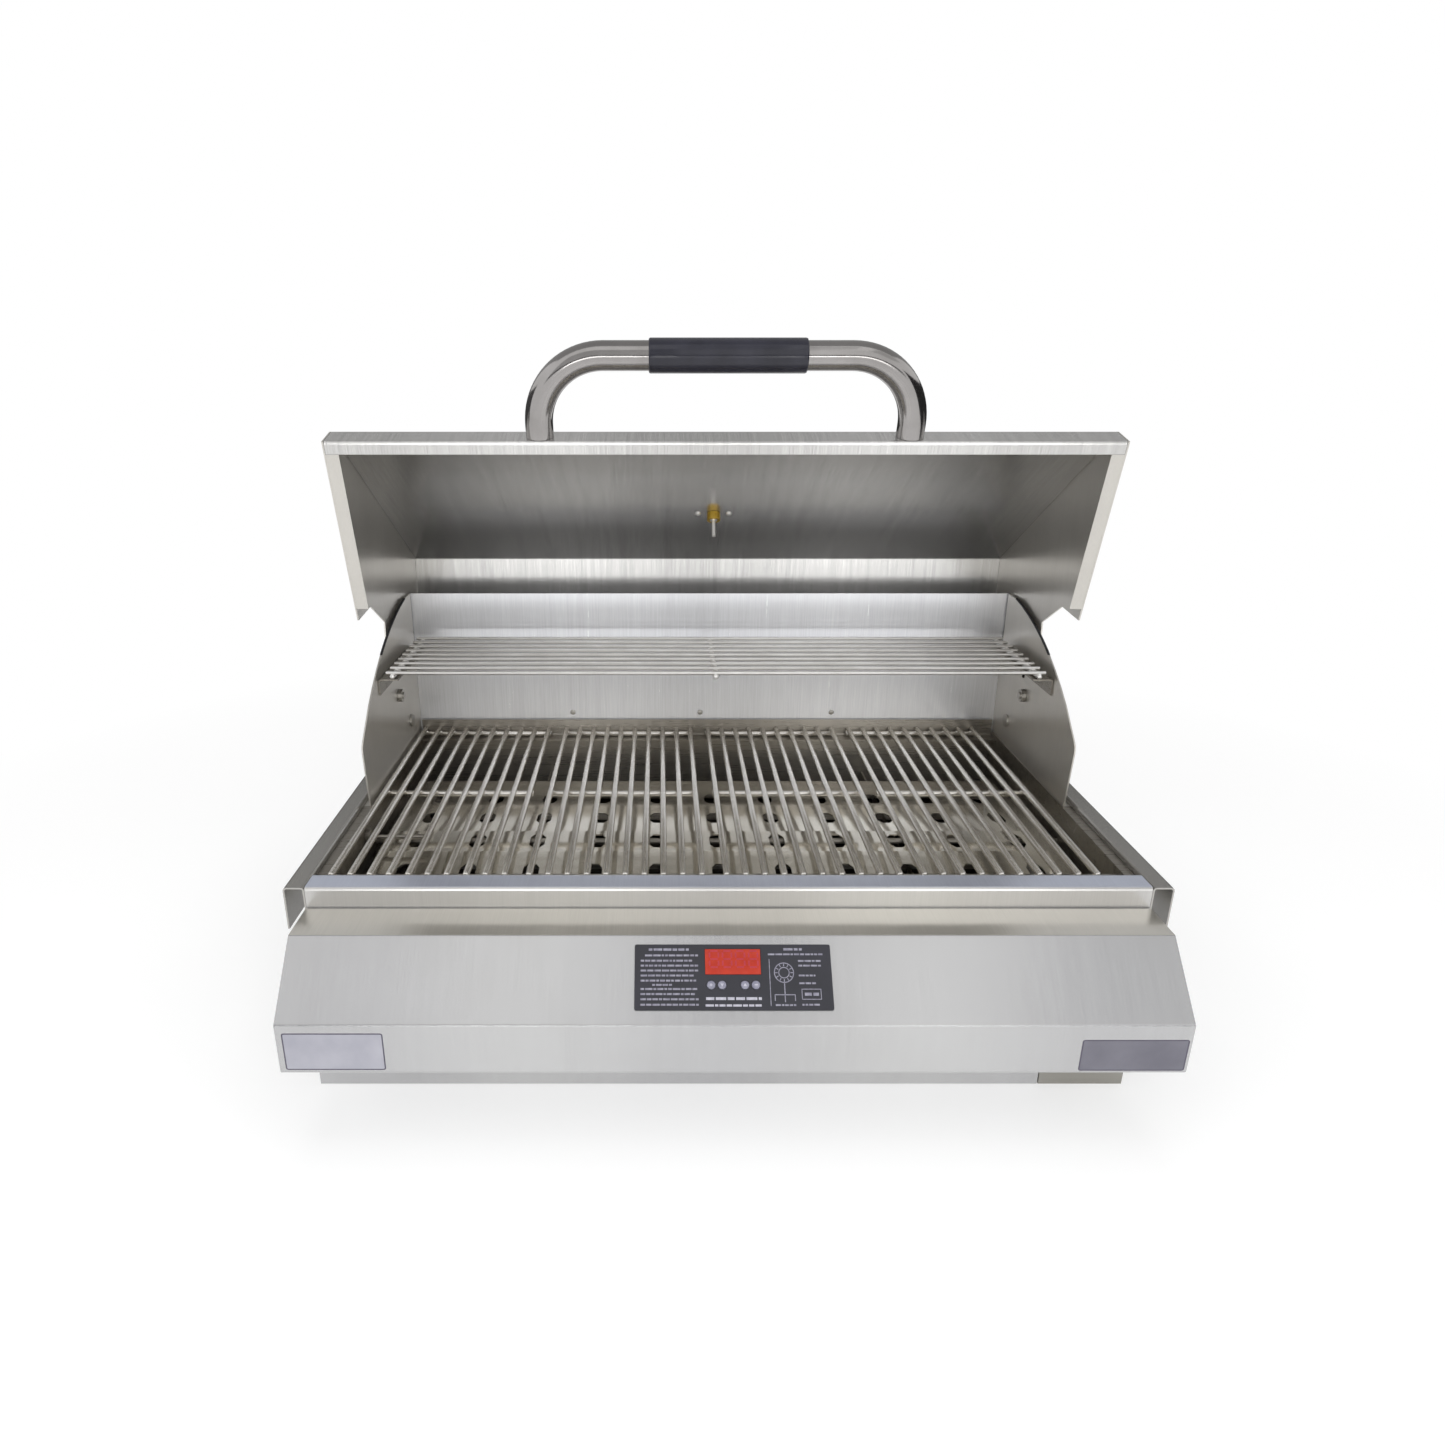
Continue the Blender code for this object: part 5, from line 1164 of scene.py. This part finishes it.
@dataclass
class Lid:
    """Bent lid shell, its end plates, hinges and stops."""

    foot: Triple = (0, -0.322, -0.0402)
    head: Triple = (0, -0.089, 0.178)
    up_share: float = 0.57
    sheet: float = 0.0015
    screw_reach: float = 0.0172
    screw_radius: float = 0.0034
    screw_height: float = 0.0020

    def thermometer_place(self) -> Matrix:
        """Gives the thermometer's axes on the open lid: z stands off the outer face.

        Returns:
            The axes, about the point on the lid where the thermometer sits.
        """
        foot, head = Vector(self.foot), Vector(self.head)
        along = (head - foot).normalized()
        across = Vector((1, 0, 0))
        axes = Matrix((across, along, across.cross(along))).transposed()
        return OPEN_LID @ Matrix.Translation(foot.lerp(head, self.up_share)) @ axes.to_4x4()

    def inner_screws(self) -> bpy.types.Object:
        """Builds the two screws beside the probe's nut, inside the lid.

        Returns:
            The piece, with both screws.
        """
        shape = Shape()
        inward = Matrix.Rotation(math.pi, 4, "X")
        for side in (-1, 1):
            spot = Matrix.Translation((side * self.screw_reach, 0, -self.sheet))
            shape.screw(self.screw_radius, self.screw_height, self.thermometer_place() @ spot @ inward)
        return shape.piece("lid_inner_screws", "lid", WIRE_STEEL, "rod_steel")

    def build(self) -> list[bpy.types.Object]:
        """Dresses the lid and its hinges and adds the small screws.

        Returns:
            The pieces made.
        """
        dress(LID_STEEL, "lid_shell")
        dress(CHEEK_STEEL, "lid_end_left", "lid_end_right")
        for part in ("hinge_pin", "hinge_nut", "lid_stop", "handle_bolt"):
            dress(FASTENER_STEEL, f"{part}_left", f"{part}_right")
        return [self.inner_screws()]


@dataclass
class Handle:
    """Bent tube of the lid with a rubber sleeve in its middle."""

    foot_y: float = -0.322
    foot_z: float = -0.0542
    standoff: float = 0.072
    half_span: float = 0.170
    bend: float = 0.060
    bend_steps: int = 20
    radius: float = 0.0127
    grip_half: float = 0.0695
    grip_radius: float = 0.0148
    gap: float = 0.0003
    tube_sides: int = 40
    grip_sides: int = 48
    lip_steps: tuple[Pair, ...] = ((0.0012, 0.0), (0.0004, 0.0004), (0.0, 0.0014))
    ring_shares: tuple[float, ...] = (0.6, 0.2, -0.2, -0.6)
    smooth_below: float = 50.0

    def tube(self) -> bpy.types.Object:
        """Builds the bent tube.

        Returns:
            The piece.
        """
        bar = self.foot_y - self.standoff
        corner = self.half_span - self.bend
        plan = [(-self.half_span, self.foot_y - self.gap)]
        plan += arc((-corner, bar + self.bend), self.bend, math.pi, 1.5 * math.pi, self.bend_steps)
        plan += arc((corner, bar + self.bend), self.bend, -0.5 * math.pi, 0.0, self.bend_steps)
        plan.append((self.half_span, self.foot_y - self.gap))
        line = [OPEN_LID @ Vector((x, y, self.foot_z)) for x, y in plan]
        return Shape().tube(line, self.radius, self.tube_sides).piece(
            "handle_bent_tube", "lid", TUBE_STEEL, "polished_stainless", ("handle_tube",), self.smooth_below,
        )

    def grip(self) -> bpy.types.Object:
        """Builds the sleeve with its rounded lips.

        Returns:
            The piece.
        """
        outer, half = self.grip_radius, self.grip_half
        lip = [(self.radius + self.gap, half), *((outer - r, half - h) for r, h in self.lip_steps)]
        body = [(outer, half * share) for share in self.ring_shares]
        profile = [*lip, *body, *[(r, -h) for r, h in reversed(lip)]]
        middle = Vector((0, self.foot_y - self.standoff, self.foot_z))
        place = OPEN_LID @ Matrix.Translation(middle) @ ALONG_X
        return Shape().turned(profile, place, self.grip_sides, ring=True).piece(
            "handle_rubber_sleeve", "lid", GRIP_RUBBER, "black_grip", ("handle_grip",), self.smooth_below,
        )

    def build(self) -> list[bpy.types.Object]:
        """Builds the handle and gives its two pieces."""
        return [self.tube(), self.grip()]


@dataclass
class Thermometer:
    """Round thermometer on the outside of the lid."""

    place: Matrix
    dial_top: float = 0.0036
    ink: float = 0.00015
    tick_radius: float = 0.0285
    ticks: int = 48
    ticks_per_number: int = 8
    long_tick: Pair = (0.00045, 0.0032)
    short_tick: Pair = (0.0002, 0.0018)
    number_radius: float = 0.0215
    number_size: float = 0.0046
    numbers: tuple[int, ...] = (100, 200, 300, 400, 500, 600, 700)
    sweep: float = math.radians(240)

    def scale_marks(self) -> bpy.types.Object:
        """Builds the ring of scale marks on the dial.

        Returns:
            The piece.
        """
        shape = Shape()
        for k in range(self.ticks + 1):
            turn = self.sweep / 2 - self.sweep * k / self.ticks
            half, length = self.short_tick if k % self.ticks_per_number else self.long_tick
            outline = rectangle(-half, self.tick_radius - length, half, self.tick_radius)
            spot = self.place @ Matrix.Rotation(turn, 4, "Z")
            shape.plate(outline, self.dial_top, self.dial_top + self.ink, spot)
        return shape.piece("dial_scale_marks", "lid", DIAL_BLACK, "black_plastic")

    def number(self, k: int, value: int) -> bpy.types.Object:
        """Builds one number of the dial as a raised text.

        Args:
            k: its place on the scale, from zero.
            value: the number.

        Returns:
            The piece.
        """
        data = bpy.data.curves.new(f"dial_number_{value}", "FONT")
        data.body = str(value)
        data.size = self.number_size
        data.align_x = "CENTER"
        data.align_y = "CENTER"
        data.extrude = self.ink / 2
        data.materials.append(DIAL_BLACK.material())
        made = placed(f"dial_number_{value}", data)
        turn = self.sweep / 2 - self.sweep * k / (len(self.numbers) - 1)
        spot = Vector((-math.sin(turn), math.cos(turn), 0)) * self.number_radius
        spot.z = self.dial_top + self.ink / 2
        made.matrix_world = self.place @ Matrix.Translation(spot)
        bpy.context.view_layer.update()
        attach(made, "lid")
        return made

    def build(self) -> list[bpy.types.Object]:
        """Dresses the thermometer and prints its dial.

        Returns:
            The pieces made.
        """
        dress(TUBE_STEEL, "thermometer_bezel")
        dress(DIAL_ENAMEL, "thermometer_dial")
        dress(DIAL_GLASS, "thermometer_glass")
        dress(DIAL_BLACK, "thermometer_needle")
        dress(FITTING_BRASS, "thermometer_nut")
        dress(WIRE_STEEL, "thermometer_stem")
        numbers = [self.number(k, value) for k, value in enumerate(self.numbers)]
        return [self.scale_marks(), *numbers]


@dataclass
class TrayDrawer:
    """Drip tray with its fascia, the junction box beside it and the cable gland."""

    def build(self) -> list[bpy.types.Object]:
        """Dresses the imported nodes.

        Returns:
            No pieces, since it adds none.
        """
        dress(PANEL_STEEL, "drip_tray")
        dress(SIDE_STEEL, "left_tray_runner", "right_tray_runner")
        dress(BOX_STEEL, "junction_box")
        dress(BLACK_NYLON, "cable_gland")
        return []


@dataclass(frozen=True)
class Lamp:
    """Soft lamp of the studio, with its place, aim, size and power, and whether metal mirrors it."""

    name: str
    place: Triple
    aim: Triple
    width: float
    height: float
    watts: float
    mirrored: bool = True

    def hang(self) -> None:
        """Puts the lamp into the scene."""
        data = bpy.data.lights.new(self.name, "AREA")
        data.shape = "RECTANGLE"
        data.size = self.width
        data.size_y = self.height
        data.energy = self.watts
        made = placed(self.name, data)
        made.location = self.place
        away = Vector(self.aim) - Vector(self.place)
        made.rotation_euler = away.to_track_quat("-Z", "Y").to_euler()
        made.visible_glossy = self.mirrored


@dataclass(frozen=True)
class Card:
    """Studio card that only metal and gloss mirror: the points of one edge, and the span to the other edge.

    The tone runs from the first to the second value between two heights.
    """

    name: str
    edge: tuple[Triple, ...]
    span: Triple
    tones: Pair
    heights: Pair = (0.0, 1.0)

    def paint(self, tree: bpy.types.NodeTree) -> bpy.types.NodeSocket:
        """Builds a glow whose tone changes with height.

        Args:
            tree: the material's node tree.

        Returns:
            The shader output.
        """
        place = add_node(tree, "SeparateXYZ", {0: add_node(tree, "TexCoord").outputs["Object"]})
        tone = add_node(tree, "MapRange", {
            "Value": place.outputs["Z"], "From Min": self.heights[0], "From Max": self.heights[1],
            "To Min": self.tones[0], "To Max": self.tones[1],
        })
        return add_node(tree, "Emission", {"Strength": tone}).outputs[0]

    def stand(self) -> None:
        """Puts the card into the scene."""
        mesh = bmesh.new()
        shifts = (Vector(), Vector(self.span))
        rows = [[mesh.verts.new(Vector(point) + shift) for shift in shifts] for point in self.edge]
        for lower, upper in zip(rows, rows[1:]):
            mesh.faces.new((lower[0], lower[1], upper[1], upper[0]))
        made = solid(self.name, mesh, painted(f"{self.name}_paint", self.paint))
        made.visible_camera = False
        made.visible_diffuse = False
        made.visible_transmission = False
        made.visible_shadow = False


@dataclass
class Studio:
    """Pale floor, soft lamps, a white surround and the camera at the photograph's angle."""

    floor_half: float = 12.0
    near: float = 0.6
    far: float = 1.3
    paper_tone: str = "#D0D0D0"
    paper_lift: float = 0.46
    lamps: tuple[Lamp, ...] = (
        Lamp("left_front_strip", (-0.58, -2.7, 1.5), (-0.58, 0.0, 1.5), 1.0, 2.8, 27.0),
        Lamp("right_front_strip", (0.85, -2.7, 1.5), (0.85, 0.0, 1.5), 1.1, 2.8, 29.0),
        Lamp("left_ceiling_strip", (-0.56, -1.7, 2.6), (-0.56, -1.7, 0.0), 0.7, 2.8, 0.5),
        Lamp("right_ceiling_strip", (0.85, -1.7, 2.6), (0.85, -1.7, 0.0), 0.8, 2.8, 0.9),
        Lamp("top_fill", (0.0, 0.3, 2.6), (0.0, 0.0, 0.2), 2.2, 2.2, 20.0, False),
        Lamp("left_fill", (-2.0, -1.4, 1.9), (0.0, 0.0, 0.3), 1.8, 1.8, 14.0, False),
        Lamp("right_fill", (2.0, -1.2, 1.9), (0.0, 0.0, 0.3), 1.8, 1.8, 10.0, False),
    )
    room_strength: float = 0.35
    cards: tuple[Card, ...] = (
        Card("back_cove_card", (
            (-2.2, 1.9, 0.0), (-2.2, 1.9, 1.1), (-2.2, 1.6, 1.7), (-2.2, 1.0, 2.2), (-2.2, 0.2, 2.45),
            (-2.2, -0.6, 2.5),
        ), (4.4, 0, 0), (0.05, 0.42), (0.65, 1.25)),
        Card("left_wing_card", ((-2.2, -0.3, 0.0), (-2.2, -0.3, 1.1)), (0, 2.2, 0), (0.1, 0.1)),
        Card("right_wing_card", ((1.5, -1.1, 0.0), (1.5, -1.1, 1.0)), (0, 3.0, 0), (0.04, 0.04)),
        Card("front_line_card", ((-2.4, -2.6, 0.42), (-2.4, -2.6, 0.78)), (4.8, 0, 0), (0.1, 0.1)),
        Card("front_left_card", ((-2.4, -2.6, 0.78), (-2.4, -2.6, 3.0)), (2.35, 0, 0), (0.76, 0.55)),
        Card("front_right_card", ((-0.05, -2.6, 0.78), (-0.05, -2.6, 3.0)), (2.45, 0, 0), (0.9, 0.95)),
        Card("ceiling_middle_card", ((-0.05, -3.0, 2.62), (-0.05, -0.8, 2.62)), (0.73, 0, 0), (0.7, 0.7)),
        Card("ceiling_right_card", ((1.4, -3.0, 2.62), (1.4, -0.8, 2.62)), (1.8, 0, 0), (0.72, 0.72)),
        Card("low_bright_card", ((-1.2, -1.06, 0.004), (-1.2, -0.70, 0.004)), (2.4, 0, 0), (1.05, 1.05)),
    )
    camera_place: Triple = (-0.060, -0.9578, 0.614)
    camera_drop: float = 19.93
    film_mm: float = 36.0
    image_side: int = 1445
    focal_pixels: float = 976.0
    shift: float = 0.0435
    nearest: float = 0.02

    def seen_directly(self, tree: bpy.types.NodeTree) -> bpy.types.Node:
        """Adds up the camera, mirror and glass rays, which all see the white surround.

        Args:
            tree: node tree of the floor or the world.

        Returns:
            A node with one for those rays and nought for the rest.
        """
        path = add_node(tree, "LightPath").outputs
        either = {0: path["Is Camera Ray"], 1: path["Is Glossy Ray"]}
        first = add_node(tree, "Math", either, operation="MAXIMUM")
        return add_node(tree, "Math", {0: first, 1: path["Is Transmission Ray"]}, operation="MAXIMUM")

    def paper(self, tree: bpy.types.NodeTree) -> bpy.types.NodeSocket:
        """Builds matt paper that rolls up into the white surround away from the object's shadow.

        Args:
            tree: the material's node tree.

        Returns:
            The shader output.
        """
        seen = self.seen_directly(tree)
        soft = add_node(tree, "BsdfDiffuse", {"Color": linear(self.paper_tone)})
        lift = add_node(tree, "Math", {0: seen, 1: self.paper_lift}, operation="MULTIPLY")
        paper = add_node(tree, "AddShader", {0: soft, 1: add_node(tree, "Emission", {"Strength": lift})})
        place = add_node(tree, "TexCoord").outputs["Object"]
        away = add_node(tree, "VectorMath", {0: place}, operation="LENGTH").outputs["Value"]
        share = add_node(tree, "MapRange", {"Value": away, "From Min": self.near, "From Max": self.far})
        rolled = add_node(tree, "Math", {0: share, 1: seen}, operation="MULTIPLY")
        white = add_node(tree, "Emission", {"Strength": 1.0})
        return add_node(tree, "MixShader", {0: rolled, 1: paper, 2: white}).outputs[0]

    def floor(self) -> None:
        """Lays the floor under the object."""
        mesh = bmesh.new()
        half = self.floor_half
        corners = rectangle(-half, -half, half, half)
        mesh.faces.new([mesh.verts.new((x, y, CAD_BOX[0].z)) for x, y in corners])
        solid("studio_floor", mesh, painted("matt_white_paper", self.paper))

    def surround(self) -> None:
        """Makes the world white where it is seen and softer where it lights."""
        world = bpy.data.worlds.new("studio_surround")
        bpy.context.scene.world = world
        world.use_nodes = True
        tree = world.node_tree
        tree.nodes.clear()
        light, seen = (
            add_node(tree, "Background", {"Color": (1, 1, 1, 1), "Strength": strength})
            for strength in (self.room_strength, 1.0)
        )
        mixed = add_node(tree, "MixShader", {0: self.seen_directly(tree), 1: light, 2: seen})
        add_node(tree, "OutputWorld", {"Surface": mixed})

    def camera(self) -> None:
        """Sets the camera where the photograph was taken from."""
        data = bpy.data.cameras.new("photo_camera")
        data.sensor_width = self.film_mm
        data.lens = self.film_mm * self.focal_pixels / self.image_side
        data.shift_x = self.shift
        data.clip_start = self.nearest
        made = placed("photo_camera", data)
        made.location = self.camera_place
        made.rotation_euler = (math.radians(90 - self.camera_drop), 0, 0)
        bpy.context.scene.camera = made
        bpy.context.scene.view_settings.view_transform = "Standard"

    def build(self) -> None:
        """Sets up the floor, the surround, the cards, the lamps and the camera."""
        self.floor()
        self.surround()
        for card in self.cards:
            card.stand()
        for lamp in self.lamps:
            lamp.hang()
        self.camera()


def dress_by_slot() -> None:
    """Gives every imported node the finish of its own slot, before the classes choose finer ones."""
    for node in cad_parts.values():
        for place in node.material_slots:
            known = place.material.name.split(".")[0] if place.material else ""
            place.material = SLOT_FINISHES.get(known, PANEL_STEEL).material()


def main() -> None:
    """Builds every sub-assembly in order and reports each piece."""
    logging.basicConfig(level=logging.INFO, format="%(message)s")
    Studio().build()
    dress_by_slot()
    lid = Lid()
    parts = (
        CookingBody(), ControlHousing(), ControlPanel(), Firebox(), Grates(), WarmingRack(), lid, Handle(),
        Thermometer(lid.thermometer_place()), TrayDrawer(),
    )
    for part in parts:
        for made in part.build():
            LOG.info("%s: %s", type(part).__name__, made.name)


if __name__ == "__main__":
    main()
